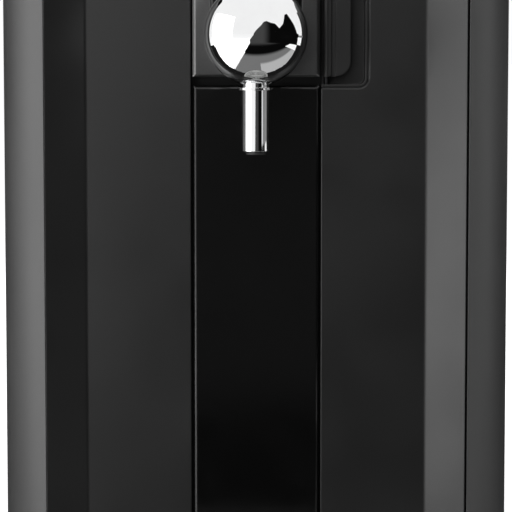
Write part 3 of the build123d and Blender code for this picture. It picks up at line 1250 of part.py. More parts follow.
def power_inlet():
    """Snap-in socket with three flat contacts."""
    body = socket_block(INLET_X, INLET_HALF_X, INLET_HALF_Z, REAR_Y - INLET_DEPTH, REAR_Y, -PORT_FIT)
    flange = socket_block(INLET_X, INLET_HALF_X, INLET_HALF_Z, REAR_Y, REAR_Y + INLET_FLANGE_T, PORT_RIM)
    flange = fillet(flange.edges().filter_by(Axis.Y), 2.0)
    floor = REAR_Y - INLET_DEPTH + 5.0
    cavity = socket_block(INLET_X, INLET_HALF_X, INLET_HALF_Z, floor, REAR_Y + 2, -PORT_FIT - INLET_WALL)
    inlet = body + flange - cavity
    half = INLET_PIN / 2
    for dx, dz in INLET_PINS:
        x, z = INLET_X + dx, REAR_PORT_Z + dz
        inlet += block(x - half, x + half, floor - 1, REAR_Y - ROCKER_SINK, z - 2 * half, z + 2 * half)
    return solid_of(inlet)


def power_switch():
    body = socket_block(SWITCH_X, SWITCH_HALF_X, SWITCH_HALF_Z, REAR_Y - SWITCH_DEPTH, REAR_Y, -PORT_FIT)
    flange = socket_block(SWITCH_X, SWITCH_HALF_X, SWITCH_HALF_Z, REAR_Y, REAR_Y + SWITCH_FLANGE_T, SWITCH_RIM)
    floor = REAR_Y - SWITCH_DEPTH + 5.0
    cavity = socket_block(SWITCH_X, SWITCH_HALF_X, SWITCH_HALF_Z, floor, REAR_Y + 2, -PORT_FIT - SWITCH_WALL)
    pivot_half = SWITCH_HALF_Z - 0.6
    pivot = rod_z(PIVOT_R + RUN_FIT, SWITCH_X, ROCKER_AXIS_Y, REAR_PORT_Z - pivot_half, REAR_PORT_Z + pivot_half)
    return solid_of(body + flange - cavity - pivot)


def switch_rocker():
    """Two faces meet over the pivot; at rest one end is pressed in."""
    half = ROCKER_HALF
    tip = ROCKER_RISE + math.tan(math.radians(ROCKER_THROW / 2)) * half
    outline = make_face(Polyline([
        (-half, tip), (0, ROCKER_RISE), (half, tip), (half - 0.8, -1.0), (2.5, -5.0), (-2.5, -5.0),
        (-half + 0.8, -1.0)], close=True))
    body = extrude(Pos(0, 0, -ROCKER_H / 2) * outline, ROCKER_H)
    body += Cylinder(PIVOT_R, 2 * SWITCH_HALF_Z - 1.6)
    return Pos(SWITCH_X, ROCKER_AXIS_Y, REAR_PORT_Z) * Rot(0, 0, -ROCKER_THROW / 2) * body


BUILDERS = [
    left_casing, right_casing, top_cover, display_window, display_board, rear_cover, cover_screws, base_chassis,
    rubber_feet, keg_liner, insulation, strike_plate, hinge_pins,
    door_outer_panel, left_front_panel, right_front_panel, door_inner_liner, door_foam, door_seal,
    front_strip, tap_panel, tap_insert,
    grip_cup, grip_pin, grip_lever, latch_bar, latch_hook, hook_pin, latch_keeper,
    tap_body, tap_nut, tap_ball, tap_spout, spout_nozzle, lever_axle, tap_lever, pinch_plunger,
    plunger_spring, tap_handle, medallion, drip_tray, drip_grid,
    cold_plate, peltier_module, heat_sink, fan_frame, fan_rotor, fan_screws,
    service_deck, control_board, air_pump, air_hose, coupler_head, coupler_seal,
    power_inlet, power_switch, switch_rocker,
]

os.makedirs("parts", exist_ok=True)
for build in BUILDERS:
    export_step(Pos(0, -Y_MID, 0) * build(), f"parts/{build.__name__}.step")
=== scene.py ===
# %% [markdown]
# # Home beer dispenser: finishes, light and camera
#
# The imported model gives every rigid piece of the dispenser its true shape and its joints.
# What is still missing is how it looks: satin and gloss mouldings, a chrome ball tap, a
# brushed drip grid, foam, rubber and the light of a small product studio.  Each cell below
# does one of these things, and the cell before it says why it is done that way.

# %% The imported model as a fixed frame
import math

import bmesh
import bpy
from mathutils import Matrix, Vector


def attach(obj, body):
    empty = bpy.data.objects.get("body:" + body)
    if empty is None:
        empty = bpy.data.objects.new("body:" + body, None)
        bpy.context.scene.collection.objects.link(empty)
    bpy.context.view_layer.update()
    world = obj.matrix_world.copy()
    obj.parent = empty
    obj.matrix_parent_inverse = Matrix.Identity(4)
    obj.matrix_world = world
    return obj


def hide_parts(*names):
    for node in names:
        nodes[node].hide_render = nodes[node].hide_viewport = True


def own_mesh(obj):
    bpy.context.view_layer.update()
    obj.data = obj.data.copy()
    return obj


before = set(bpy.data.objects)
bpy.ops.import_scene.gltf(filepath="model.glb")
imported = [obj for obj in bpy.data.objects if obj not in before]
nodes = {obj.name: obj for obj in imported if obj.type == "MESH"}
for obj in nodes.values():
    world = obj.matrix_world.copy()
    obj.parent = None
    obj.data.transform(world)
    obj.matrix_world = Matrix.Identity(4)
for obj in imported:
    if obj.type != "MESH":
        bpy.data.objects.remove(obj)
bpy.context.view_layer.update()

MM = 0.001

# %% [markdown]
# The camera stands in front of the tap and looks down by five degrees.  From so far away
# a long lens is needed, and upright edges then converge only a little.  The aim point
# floats just before the front face, at the height of the middle of the view, and the
# camera is placed by its distance from there.

# %% Camera
CAMERA_PITCH = 5.0
CAMERA_REACH = 1170 * MM
CAMERA_LENS = 163.3
NEAREST_SEEN, FARTHEST_SEEN = 0.05, 80.0
FRONT_FACE_Y = -95.5 * MM
AIM = Vector((0.0, FRONT_FACE_Y - 12 * MM, 226.8 * MM))

pitch = math.radians(CAMERA_PITCH)
lens_data = bpy.data.cameras.new("front_camera")
lens_data.lens = CAMERA_LENS
lens_data.clip_start = NEAREST_SEEN
lens_data.clip_end = FARTHEST_SEEN
camera = bpy.data.objects.new("front_camera", lens_data)
camera.location = AIM + Vector((0.0, -math.cos(pitch), math.sin(pitch))) * CAMERA_REACH
camera.rotation_euler = (math.pi / 2 - pitch, 0.0, 0.0)
bpy.context.scene.collection.objects.link(camera)
bpy.context.scene.camera = camera
print("camera at", tuple(round(v, 4) for v in camera.location))

# %% [markdown]
# Every finish is built from nodes.  A few helpers keep that short: one turns a colour as it
# is picked on a screen into the linear numbers that light is worked out with, one makes a
# colour lighter or darker, and one adds a node with its settings and its links.
#
# Noise seldom leaves the middle of its range.  Two pairs of limits say which part of it is
# stretched to full effect: an even one, and a higher one where only streaks should show.

# %% Colour and node helpers
NOISE_LOW, NOISE_HIGH = 0.3, 0.7
STREAK_LOW, STREAK_HIGH = 0.35, 0.75


def linear(code):
    """A screen colour such as "#a0b0c0" as linear red, green, blue and full alpha."""
    levels = [int(code[i:i + 2], 16) / 255 for i in (1, 3, 5)]
    light = [v / 12.92 if v <= 0.04045 else ((v + 0.055) / 1.055) ** 2.4 for v in levels]
    return tuple(light) + (1.0,)


def shade(code, share):
    """A screen colour as linear light, of which only a share is left."""
    return tuple(v * share for v in linear(code)[:3]) + (1.0,)


def add(tree, kind, inputs=None, **settings):
    """A new node; an input that is given a socket is linked, any other value is set."""
    node = tree.nodes.new(kind)
    for name, value in settings.items():
        setattr(node, name, value)
    for name, value in (inputs or {}).items():
        socket = node.inputs[name]
        if isinstance(value, bpy.types.NodeSocket):
            tree.links.new(value, socket)
        else:
            socket.default_value = value
    return node


def new_material(name):
    """An empty node material, with its output node."""
    material = bpy.data.materials.new(name)
    material.use_nodes = True
    material.node_tree.nodes.clear()
    out = material.node_tree.nodes.new("ShaderNodeOutputMaterial")
    return material, material.node_tree, out


def per_metre(size_mm):
    """Texture scale at which one feature of a pattern is about size_mm across."""
    return 1.0 / (size_mm * MM)


print("white", linear("#ffffff"), "middle grey", round(linear("#777777")[0], 3))

# %% [markdown]
# Moulded plastic takes its surface from the steel tool it was made in.  Spark erosion
# leaves a fine even grain, which spreads highlights.  Handling polishes raised spots and
# leaves faint smears, so gloss varies slowly over a hand's width.  The grain is about
# 0.1 mm on the real mouldings and is drawn at 0.7 mm, the finest that still shows here.
# The cover of roof and back was eroded coarser, and is drawn at 1.1 mm.
#
# The shader's bevel rounds the sharp edges of the model by the radius a tool has there, and
# a rounded edge draws the thin light line that tells the eye where one piece ends.
#
# The door's skin is one grey moulding.  Down its middle the channel is painted matt black as
# shade, so that the gaps round the strip read as deep shadow.

# %% Moulded plastic
SMEAR_MM = 70
MOTTLE = 0.08
DRAWN_DEEPER = 10  # the grain is drawn coarser than it is, so it is drawn deeper too
# Painted shade: the matt black in the door's channel stands for the shadow deep in its gaps.
PAINTED_SHADE_BLACK = "#020202"
PAINTED_SHADE_ROUGHNESS = 1.0


def moulded_plastic(name, colour, roughness, grain_mm=0.7, grain_depth_mm=0.004, edge_mm=0.4,
                    smear=0.06, painted_shade_within_mm=0.0):
    """Opaque moulded plastic: grain, slow changes of gloss and tone, softly rounded edges.

    Where a width is given, the piece is painted black that far to each side of x = 0, as shade."""
    material, tree, out = new_material(name)
    place = add(tree, "ShaderNodeTexCoord").outputs["Object"]
    grain = add(tree, "ShaderNodeTexNoise", {
        "Vector": place, "Scale": per_metre(grain_mm), "Detail": 2.0, "Roughness": 0.6}).outputs["Fac"]
    slow = add(tree, "ShaderNodeTexNoise", {
        "Vector": place, "Scale": per_metre(SMEAR_MM), "Detail": 3.0, "Roughness": 0.5}).outputs["Fac"]
    rough = add(tree, "ShaderNodeMapRange", {
        "Value": slow, "From Min": NOISE_LOW, "From Max": NOISE_HIGH,
        "To Min": roughness - smear, "To Max": roughness + smear}).outputs["Result"]
    tone = add(tree, "ShaderNodeMix", {
        "Factor": grain, 6: shade(colour, 1 - MOTTLE), 7: shade(colour, 1 + MOTTLE)},
        data_type="RGBA").outputs[2]
    # Painted shade: a band round x = 0 is painted black, where the channel lies in shadow.
    if painted_shade_within_mm:
        across = add(tree, "ShaderNodeSeparateXYZ", {"Vector": place}).outputs["X"]
        aside = add(tree, "ShaderNodeMath", {0: across}, operation="ABSOLUTE").outputs[0]
        painted_shade_mask = add(tree, "ShaderNodeMath", {0: aside, 1: painted_shade_within_mm * MM},
                      operation="LESS_THAN").outputs[0]
        tone = add(tree, "ShaderNodeMix", {"Factor": painted_shade_mask, 6: tone, 7: linear(PAINTED_SHADE_BLACK)},
                   data_type="RGBA").outputs[2]
        rough = add(tree, "ShaderNodeMix", {"Factor": painted_shade_mask, 2: rough, 3: PAINTED_SHADE_ROUGHNESS}).outputs[0]
    rounding = add(tree, "ShaderNodeBevel", {"Radius": edge_mm * MM}, samples=6).outputs["Normal"]
    bumps = add(tree, "ShaderNodeBump", {
        "Height": grain, "Distance": grain_depth_mm * MM * DRAWN_DEEPER, "Strength": 0.5,
        "Normal": rounding}).outputs["Normal"]
    shader = add(tree, "ShaderNodeBsdfPrincipled", {
        "Base Color": tone, "Roughness": rough, "IOR": 1.53, "Normal": bumps})
    tree.links.new(shader.outputs["BSDF"], out.inputs["Surface"])
    return material


# Casings and door skin: satin, so each curve carries one soft, wide highlight.
grey_abs = moulded_plastic("satin_grey_abs", "#424242", roughness=0.42, edge_mm=0.8, smear=0.03)
# The door skin carries painted shade: its channel is painted black.
door_abs = moulded_plastic("satin_grey_abs_painted_shade_channel", "#424242", roughness=0.42, edge_mm=0.8,
                           smear=0.03, painted_shade_within_mm=34)
# Front panels with their slopes: darker and a little smoother, so the slopes shine in turn.
anthracite_abs = moulded_plastic("satin_anthracite_abs", "#131313", roughness=0.34, edge_mm=0.8)
# Roof and back: a coarse grain that hides finger marks and breaks up the highlight.
shell_abs = moulded_plastic("spark_eroded_black_abs", "#262626", roughness=0.46, grain_mm=1.1,
                            grain_depth_mm=0.008)
# Base, tray and inner parts: dull black, which stays back behind the other surfaces.
matt_black_abs = moulded_plastic("matt_black_abs", "#1c1c1c", roughness=0.58, grain_depth_mm=0.008)
# Chamber and inside of the door: pale, smooth and faintly wavy, as formed sheet is.
liner_ps = moulded_plastic("pale_grey_polystyrene", "#b4b7b8", roughness=0.34, grain_mm=2.5,
                           grain_depth_mm=0.003)
plastics = (grey_abs, door_abs, anthracite_abs, shell_abs, matt_black_abs, liner_ps)
print("moulded plastics", [made.name for made in plastics])

# %% [markdown]
# The centre strip, the inset behind the tap and the rocker are moulded in a polished tool.
# They are near black, very smooth, and carry only hair-fine wiping marks.  Their edges are
# rounded by about a millimetre and catch the soft box as a thin bright line.

# %% Polished black
WIPE_MM = 25
POLISHED_EDGE_MM = 1.2


def polished_black(name):
    """Black plastic from a polished tool: a dark mirror with faint wiping marks."""
    material, tree, out = new_material(name)
    place = add(tree, "ShaderNodeTexCoord").outputs["Object"]
    wipes = add(tree, "ShaderNodeTexNoise", {
        "Vector": place, "Scale": per_metre(WIPE_MM), "Detail": 4.0, "Roughness": 0.7,
        "Distortion": 0.4}).outputs["Fac"]
    rough = add(tree, "ShaderNodeMapRange", {
        "Value": wipes, "From Min": STREAK_LOW, "From Max": STREAK_HIGH,
        "To Min": 0.05, "To Max": 0.13}).outputs["Result"]
    tone = add(tree, "ShaderNodeMix", {"Factor": wipes, 6: linear("#080808"), 7: linear("#0b0b0b")},
               data_type="RGBA").outputs[2]
    rounding = add(tree, "ShaderNodeBevel", {"Radius": POLISHED_EDGE_MM * MM}, samples=6).outputs["Normal"]
    shader = add(tree, "ShaderNodeBsdfPrincipled", {
        "Base Color": tone, "Roughness": rough, "IOR": 1.58, "Normal": rounding})
    tree.links.new(shader.outputs["BSDF"], out.inputs["Surface"])
    return material


gloss_black = polished_black("polished_black_abs")
print("polished", gloss_black.name)

# %% [markdown]
# The panel behind the tap is sprayed with metallic lacquer: tiny aluminium flakes lie in a
# dark grey film under a clear one.  The eye sees a soft sparkle from the flakes and, where
# an edge turns, a flash from the clear coat.  So it is a rough metal with flakes of about
# 0.3 mm that differ a little in tone and tilt, under a coat.  The coat's index is higher
# than a lacquer's 1.5, because the rounded edge is only a pixel or two wide here and would
# not flash otherwise.

# %% Metallic lacquer
FLAKE_MM = 0.3
FLAKE_TONE = 0.14
LACQUERED_EDGE_MM = 0.8


def metallic_lacquer(name, colour):
    """Aluminium flakes in a coloured film, under clear lacquer."""
    material, tree, out = new_material(name)
    place = add(tree, "ShaderNodeTexCoord").outputs["Object"]
    flakes = add(tree, "ShaderNodeTexVoronoi", {"Vector": place, "Scale": per_metre(FLAKE_MM)})
    tone = add(tree, "ShaderNodeMix", {
        "Factor": flakes.outputs["Color"], 6: shade(colour, 1 - FLAKE_TONE),
        7: shade(colour, 1 + FLAKE_TONE)}, data_type="RGBA").outputs[2]
    rounding = add(tree, "ShaderNodeBevel", {"Radius": LACQUERED_EDGE_MM * MM}, samples=6).outputs["Normal"]
    bumps = add(tree, "ShaderNodeBump", {
        "Height": flakes.outputs["Distance"], "Distance": 0.02 * MM, "Strength": 0.25,
        "Normal": rounding}).outputs["Normal"]
    shader = add(tree, "ShaderNodeBsdfPrincipled", {
        "Base Color": tone, "Metallic": 1.0, "Roughness": 0.36, "Normal": bumps,
        "Coat Weight": 1.0, "Coat Roughness": 0.06, "Coat IOR": 2.4, "Coat Normal": rounding})
    tree.links.new(shader.outputs["BSDF"], out.inputs["Surface"])
    return material


grey_lacquer = metallic_lacquer("metallic_grey_lacquer", "#525252")
print("lacquer", grey_lacquer.name)

# %% [markdown]
# Chrome is a mirror with a slightly cool grey of its own.  Plating follows the polished
# brass below it and keeps a faint polishing haze, which softens reflections unevenly.
#
# Steel and aluminium are brushed, drawn or extruded, and all three leave fine parallel
# lines.  They stretch a highlight across the lines.  Real ones are too fine to show, so
# they are drawn at 0.35 to 0.8 mm.

# %% Chrome, steel and aluminium
HAZE_MM = 9
PLATED_EDGE_MM = 0.25
LINE_STRETCH = 0.02  # the pattern changes fifty times slower along a line than across it
LINE_SMOOTHER, LINE_ROUGHER = 0.08, 0.1
LINE_SHADE = 0.82


def bright_chrome(name):
    """Polished chrome plate with a faint haze."""
    material, tree, out = new_material(name)
    place = add(tree, "ShaderNodeTexCoord").outputs["Object"]
    haze = add(tree, "ShaderNodeTexNoise", {
        "Vector": place, "Scale": per_metre(HAZE_MM), "Detail": 5.0, "Roughness": 0.6}).outputs["Fac"]
    rough = add(tree, "ShaderNodeMapRange", {
        "Value": haze, "From Min": STREAK_LOW, "From Max": STREAK_HIGH,
        "To Min": 0.015, "To Max": 0.05}).outputs["Result"]
    tone = add(tree, "ShaderNodeMix", {"Factor": haze, 6: linear("#ebebec"), 7: linear("#f4f5f5")},
               data_type="RGBA").outputs[2]
    rounding = add(tree, "ShaderNodeBevel", {"Radius": PLATED_EDGE_MM * MM}, samples=6).outputs["Normal"]
    shader = add(tree, "ShaderNodeBsdfPrincipled", {
        "Base Color": tone, "Metallic": 1.0, "Roughness": rough, "Normal": rounding})
    tree.links.new(shader.outputs["BSDF"], out.inputs["Surface"])
    return material


def brushed_metal(name, colour, along, line_mm=0.35, roughness=0.3):
    """Metal with fine parallel lines; along is the axis (0, 1 or 2) that the lines follow."""
    material, tree, out = new_material(name)
    place = add(tree, "ShaderNodeTexCoord").outputs["Object"]
    stretch = [1.0, 1.0, 1.0]
    stretch[along] = LINE_STRETCH
    lines_at = add(tree, "ShaderNodeMapping", {"Vector": place, "Scale": stretch}).outputs["Vector"]
    lines = add(tree, "ShaderNodeTexNoise", {
        "Vector": lines_at, "Scale": per_metre(line_mm), "Detail": 3.0, "Roughness": 0.7}).outputs["Fac"]
    rough = add(tree, "ShaderNodeMapRange", {
        "Value": lines, "From Min": NOISE_LOW, "From Max": NOISE_HIGH,
        "To Min": roughness - LINE_SMOOTHER, "To Max": roughness + LINE_ROUGHER}).outputs["Result"]
    tone = add(tree, "ShaderNodeMix", {"Factor": lines, 6: shade(colour, LINE_SHADE), 7: linear(colour)},
               data_type="RGBA").outputs[2]
    bumps = add(tree, "ShaderNodeBump", {
        "Height": lines, "Distance": 0.02 * MM, "Strength": 0.4}).outputs["Normal"]
    shader = add(tree, "ShaderNodeBsdfPrincipled", {
        "Base Color": tone, "Metallic": 1.0, "Roughness": rough, "Normal": bumps})
    tree.links.new(shader.outputs["BSDF"], out.inputs["Surface"])
    return material


chrome = bright_chrome("bright_chrome_plate")
# Drip grid, strike plate and nut: brushed from side to side.
steel = brushed_metal("brushed_stainless_steel", "#b9bab8", along=0)
# Bars, hooks, pins and screws: drawn wire and sheet under dull grey zinc.
zinc_steel = brushed_metal("zinc_plated_steel", "#a4a6a8", along=2, line_mm=0.8, roughness=0.36)
# The grip's pin is blackened, so that it doesn't shine out of the dark recess.
black_steel = brushed_metal("blackened_steel", "#2b2b2c", along=2, line_mm=0.8, roughness=0.45)
# Cold plate and heat sink: extruded, with lines along the fins.
aluminium = brushed_metal("extruded_aluminium", "#bfc0c2", along=2, line_mm=0.6, roughness=0.38)
print("metals", [made.name for made in (chrome, steel, zinc_steel, black_steel, aluminium)])

# %% [markdown]
# Rigid polyurethane foam is poured between liner and casing.  Cut or moulded faces show
# small round cells of about a millimetre, drawn at 1.6 mm, pale yellow, each pit painted darker as shade.
# Moulded rubber is dull, with a bloom that comes to its surface with age.  The plates of
# the cooling element are pressed and fired from white alumina and stay faintly speckled.

# %% Foam, rubber, ceramic
FOAM_CELL_MM = 1.6
BLOOM_MM = 6
SPECK_MM = 1.2


def poured_foam(name):
    """Rigid foam with open cells at its surface."""
    material, tree, out = new_material(name)
    place = add(tree, "ShaderNodeTexCoord").outputs["Object"]
    cells = add(tree, "ShaderNodeTexVoronoi", {
        "Vector": place, "Scale": per_metre(FOAM_CELL_MM)}).outputs["Distance"]
    # Painted shade: each cell is darker towards its middle, where its pit is deepest.
    tone = add(tree, "ShaderNodeMix", {"Factor": cells, 6: linear("#b89f62"), 7: linear("#e6d8ab")},
               data_type="RGBA").outputs[2]
    bumps = add(tree, "ShaderNodeBump", {
        "Height": cells, "Distance": 0.4 * MM, "Strength": 0.7}).outputs["Normal"]
    shader = add(tree, "ShaderNodeBsdfPrincipled", {
        "Base Color": tone, "Roughness": 0.9, "IOR": 1.45, "Normal": bumps})
    tree.links.new(shader.outputs["BSDF"], out.inputs["Surface"])
    return material


def soft_rubber(name, colour, bloom):
    """Moulded rubber with a dull bloom on its surface."""
    material, tree, out = new_material(name)
    place = add(tree, "ShaderNodeTexCoord").outputs["Object"]
    dust = add(tree, "ShaderNodeTexNoise", {
        "Vector": place, "Scale": per_metre(BLOOM_MM), "Detail": 6.0, "Roughness": 0.65}).outputs["Fac"]
    tone = add(tree, "ShaderNodeMix", {"Factor": dust, 6: linear(colour), 7: linear(bloom)},
               data_type="RGBA").outputs[2]
    bumps = add(tree, "ShaderNodeBump", {
        "Height": dust, "Distance": 0.05 * MM, "Strength": 0.6}).outputs["Normal"]
    shader = add(tree, "ShaderNodeBsdfPrincipled", {
        "Base Color": tone, "Roughness": 0.78, "IOR": 1.5, "Normal": bumps})
    tree.links.new(shader.outputs["BSDF"], out.inputs["Surface"])
    return material


def fired_ceramic(name):
    """White fired ceramic with faint specks."""
    material, tree, out = new_material(name)
    place = add(tree, "ShaderNodeTexCoord").outputs["Object"]
    specks = add(tree, "ShaderNodeTexNoise", {
        "Vector": place, "Scale": per_metre(SPECK_MM), "Detail": 4.0}).outputs["Fac"]
    tone = add(tree, "ShaderNodeMix", {"Factor": specks, 6: linear("#d9d8d2"), 7: linear("#f1f0ea")},
               data_type="RGBA").outputs[2]
    shader = add(tree, "ShaderNodeBsdfPrincipled", {"Base Color": tone, "Roughness": 0.6, "IOR": 1.7})
    tree.links.new(shader.outputs["BSDF"], out.inputs["Surface"])
    return material


foam = poured_foam("poured_polyurethane_foam")
rubber = soft_rubber("black_moulded_rubber", "#141414", "#1f1f1f")
silicone = soft_rubber("milky_silicone_rubber", "#b3b2a8", "#c9c8be")
ceramic = fired_ceramic("fired_alumina")
print("soft and fired", [made.name for made in (foam, rubber, silicone, ceramic)])

# %% [markdown]
# The display window is smoked acrylic: it looks black until something glows behind it.
# Circuit boards are glass fibre under green solder mask, with copper runs that show as
# paler lines through it.

# %% Window and circuit boards
WINDOW_SMEAR_MM = 12
COPPER_RUN_MM = 18


def smoked_acrylic(name):
    """Clear grey acrylic with faint smears."""
    material, tree, out = new_material(name)
    place = add(tree, "ShaderNodeTexCoord").outputs["Object"]
    smears = add(tree, "ShaderNodeTexNoise", {
        "Vector": place, "Scale": per_metre(WINDOW_SMEAR_MM), "Detail": 4.0}).outputs["Fac"]
    rough = add(tree, "ShaderNodeMapRange", {
        "Value": smears, "To Min": 0.03, "To Max": 0.12}).outputs["Result"]
    shader = add(tree, "ShaderNodeBsdfPrincipled", {
        "Base Color": linear("#3a3b3d"), "Roughness": rough, "IOR": 1.49,
        "Transmission Weight": 0.9})
    tree.links.new(shader.outputs["BSDF"], out.inputs["Surface"])
    return material


def solder_mask(name):
    """Green lacquer over a board, paler along the copper runs."""
    material, tree, out = new_material(name)
    place = add(tree, "ShaderNodeTexCoord").outputs["Object"]
    runs = add(tree, "ShaderNodeTexBrick", {
        "Vector": place, "Scale": per_metre(COPPER_RUN_MM), "Mortar Size": 0.03,
        "Color1": linear("#12502c"), "Color2": linear("#16592f"),
        "Mortar": linear("#3d8a52")}).outputs["Color"]
    shader = add(tree, "ShaderNodeBsdfPrincipled", {"Base Color": runs, "Roughness": 0.35, "IOR": 1.55})
    tree.links.new(shader.outputs["BSDF"], out.inputs["Surface"])
    return material


window = smoked_acrylic("smoked_acrylic")
board = solder_mask("green_solder_mask")
print("window and boards", window.name, board.name)

# %% [markdown]
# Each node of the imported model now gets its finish.  The meshes stay as they are, and only
# the material slots change.

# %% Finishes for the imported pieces
FINISHES = {
    grey_abs: ["left_casing", "right_casing"],
    door_abs: ["door_outer_panel"],
    anthracite_abs: ["left_front_panel", "right_front_panel", "grip_cup", "grip_lever"],
    shell_abs: ["top_cover", "rear_cover"],
    grey_lacquer: ["tap_panel"],
    gloss_black: ["front_strip", "tap_insert", "medallion", "switch_rocker"],
    matt_black_abs: ["base_chassis", "latch_keeper", "spout_nozzle", "pinch_plunger", "drip_tray",
                     "fan_frame", "fan_rotor", "service_deck", "air_pump", "coupler_head",
                     "power_inlet", "power_switch"],
    liner_ps: ["keg_liner", "door_inner_liner"],
    chrome: ["tap_body", "tap_ball", "tap_spout", "tap_lever", "tap_handle"],
    steel: ["drip_grid", "strike_plate", "tap_nut"],
    black_steel: ["grip_pin"],
    zinc_steel: ["hinge_pins", "latch_bar", "latch_hook", "hook_pin", "lever_axle", "plunger_spring",
                 "fan_screws", "cover_screws"],
    aluminium: ["cold_plate", "heat_sink"],
    foam: ["insulation", "door_foam"],
    rubber: ["rubber_feet", "door_seal", "coupler_seal"],
    silicone: ["air_hose"],
    ceramic: ["peltier_module"],
    window: ["display_window"],
    board: ["display_board", "control_board"],
}
for material, names in FINISHES.items():
    for name in names:
        mesh = nodes[name].data
        mesh.materials.clear()
        mesh.materials.append(material)
without = sorted(set(nodes) - {name for names in FINISHES.values() for name in names})
print("nodes without a finish", without)

# %% [markdown]
# The spring above the pinch plunger shortens when the lever tilts, and a imported node keeps
# its shape.  So a copy of the coil stands for it, and its loose triangles are merged.

# %% Plunger spring
WELD_DISTANCE = 0.001 * MM
coil = bmesh.new()
coil.from_mesh(nodes["plunger_spring"].data)
bmesh.ops.remove_doubles(coil, verts=coil.verts, dist=WELD_DISTANCE)
coil_mesh = bpy.data.meshes.new("plunger_spring_coil")
coil.to_mesh(coil_mesh)
coil.free()
coil_mesh.materials.clear()
coil_mesh.materials.append(zinc_steel)
coil_piece = bpy.data.objects.new("plunger_spring_coil", coil_mesh)
bpy.context.scene.collection.objects.link(coil_piece)
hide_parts("plunger_spring")
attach(coil_piece, "door")
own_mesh(coil_piece)

# %% [markdown]
# The floor is a pale, very large sheet of paper, so that every view of the dispenser has
# ground under it.  It adds some light of its own for the camera and for mirrors only, and
# so turns white, yet it still takes the dispenser's shadow.  The lamps light it only near
# by, so its own light grows outwards, and no horizon shows.

# %% Floor
FLOOR_HALF = 60.0
GLOW_NEAR, GLOW_FAR = 0.42, 0.86
GLOW_FROM, GLOW_TO = 0.9, 3.0
PAPER = "#e4e4e4"
WHITE = (1.0, 1.0, 1.0, 1.0)

floor_mesh = bpy.data.meshes.new("studio_floor")
shape = bmesh.new()
bmesh.ops.create_grid(shape, x_segments=1, y_segments=1, size=FLOOR_HALF)
shape.to_mesh(floor_mesh)
shape.free()
floor = bpy.data.objects.new("studio_floor", floor_mesh)
bpy.context.scene.collection.objects.link(floor)

material, tree, out = new_material("pale_paper")
rays = add(tree, "ShaderNodeLightPath")
seen = add(tree, "ShaderNodeMath", {0: rays.outputs["Is Camera Ray"], 1: rays.outputs["Is Glossy Ray"]},
           operation="MAXIMUM").outputs[0]
seen = add(tree, "ShaderNodeMath", {0: seen, 1: rays.outputs["Is Transmission Ray"]},
           operation="MAXIMUM").outputs[0]
place = add(tree, "ShaderNodeTexCoord").outputs["Object"]
away = add(tree, "ShaderNodeVectorMath", {0: place}, operation="LENGTH").outputs["Value"]
level = add(tree, "ShaderNodeMapRange", {
    "Value": away, "From Min": GLOW_FROM, "From Max": GLOW_TO,
    "To Min": GLOW_NEAR, "To Max": GLOW_FAR}).outputs["Result"]
glow = add(tree, "ShaderNodeMath", {0: seen, 1: level}, operation="MULTIPLY").outputs[0]
paper = add(tree, "ShaderNodeBsdfDiffuse", {"Color": linear(PAPER)})
white = add(tree, "ShaderNodeEmission", {"Color": WHITE, "Strength": glow})
both = add(tree, "ShaderNodeAddShader", {0: paper.outputs["BSDF"], 1: white.outputs["Emission"]})
tree.links.new(both.outputs["Shader"], out.inputs["Surface"])
floor_mesh.materials.append(material)
print("floor", 2 * FLOOR_HALF, "m across, glow", GLOW_NEAR, "to", GLOW_FAR)

# %% [markdown]
# The light is that of a product table, with three soft boxes.  A tall one stands close by
# on the left.  It works in reflections only, where it draws the long highlight down each
# slope that faces it, and leaves the colour of the side alone.  A broad one above the lens
# fills the front, and one high behind fills the back.  Both are kept out of reflections, so
# that chrome and polished black stay deep.  The room adds about a fifth of the light
# evenly, and reflections see its walls as white.

# %% Lamps and room
LAMP_AIM = Vector((0.0, -0.05, 0.24))
ROOM_LEVEL = 0.22


def soft_box(name, azimuth, elevation, distance, width, height, brightness,
             in_mirrors=True, on_matt=True):
    """An area lamp aimed at the dispenser; azimuth 0 is in front, positive to the right.

    brightness is how bright its face looks: 1 is the white of the screen."""
    a, e = math.radians(azimuth), math.radians(elevation)
    data = bpy.data.lights.new(name, "AREA")
    data.shape = "RECTANGLE"
    data.size, data.size_y = width, height
    data.energy = brightness * math.pi * width * height
    lamp = bpy.data.objects.new(name, data)
    towards = Vector((math.sin(a) * math.cos(e), -math.cos(a) * math.cos(e), math.sin(e)))
    lamp.location = LAMP_AIM + towards * distance
    lamp.rotation_euler = towards.to_track_quat("Z", "Y").to_euler()
    lamp.visible_camera = False
    lamp.visible_glossy = in_mirrors
    lamp.visible_diffuse = on_matt
    bpy.context.scene.collection.objects.link(lamp)
    return lamp


key = soft_box("left_soft_box", -64, 7, 0.95, 0.8, 0.95, 1.88, on_matt=False)
fill = soft_box("overhead_fill", -18, 36, 2.2, 1.8, 1.6, 5.0, in_mirrors=False)
rear = soft_box("rear_fill", 180, 34, 2.2, 2.2, 1.6, 4.0, in_mirrors=False)

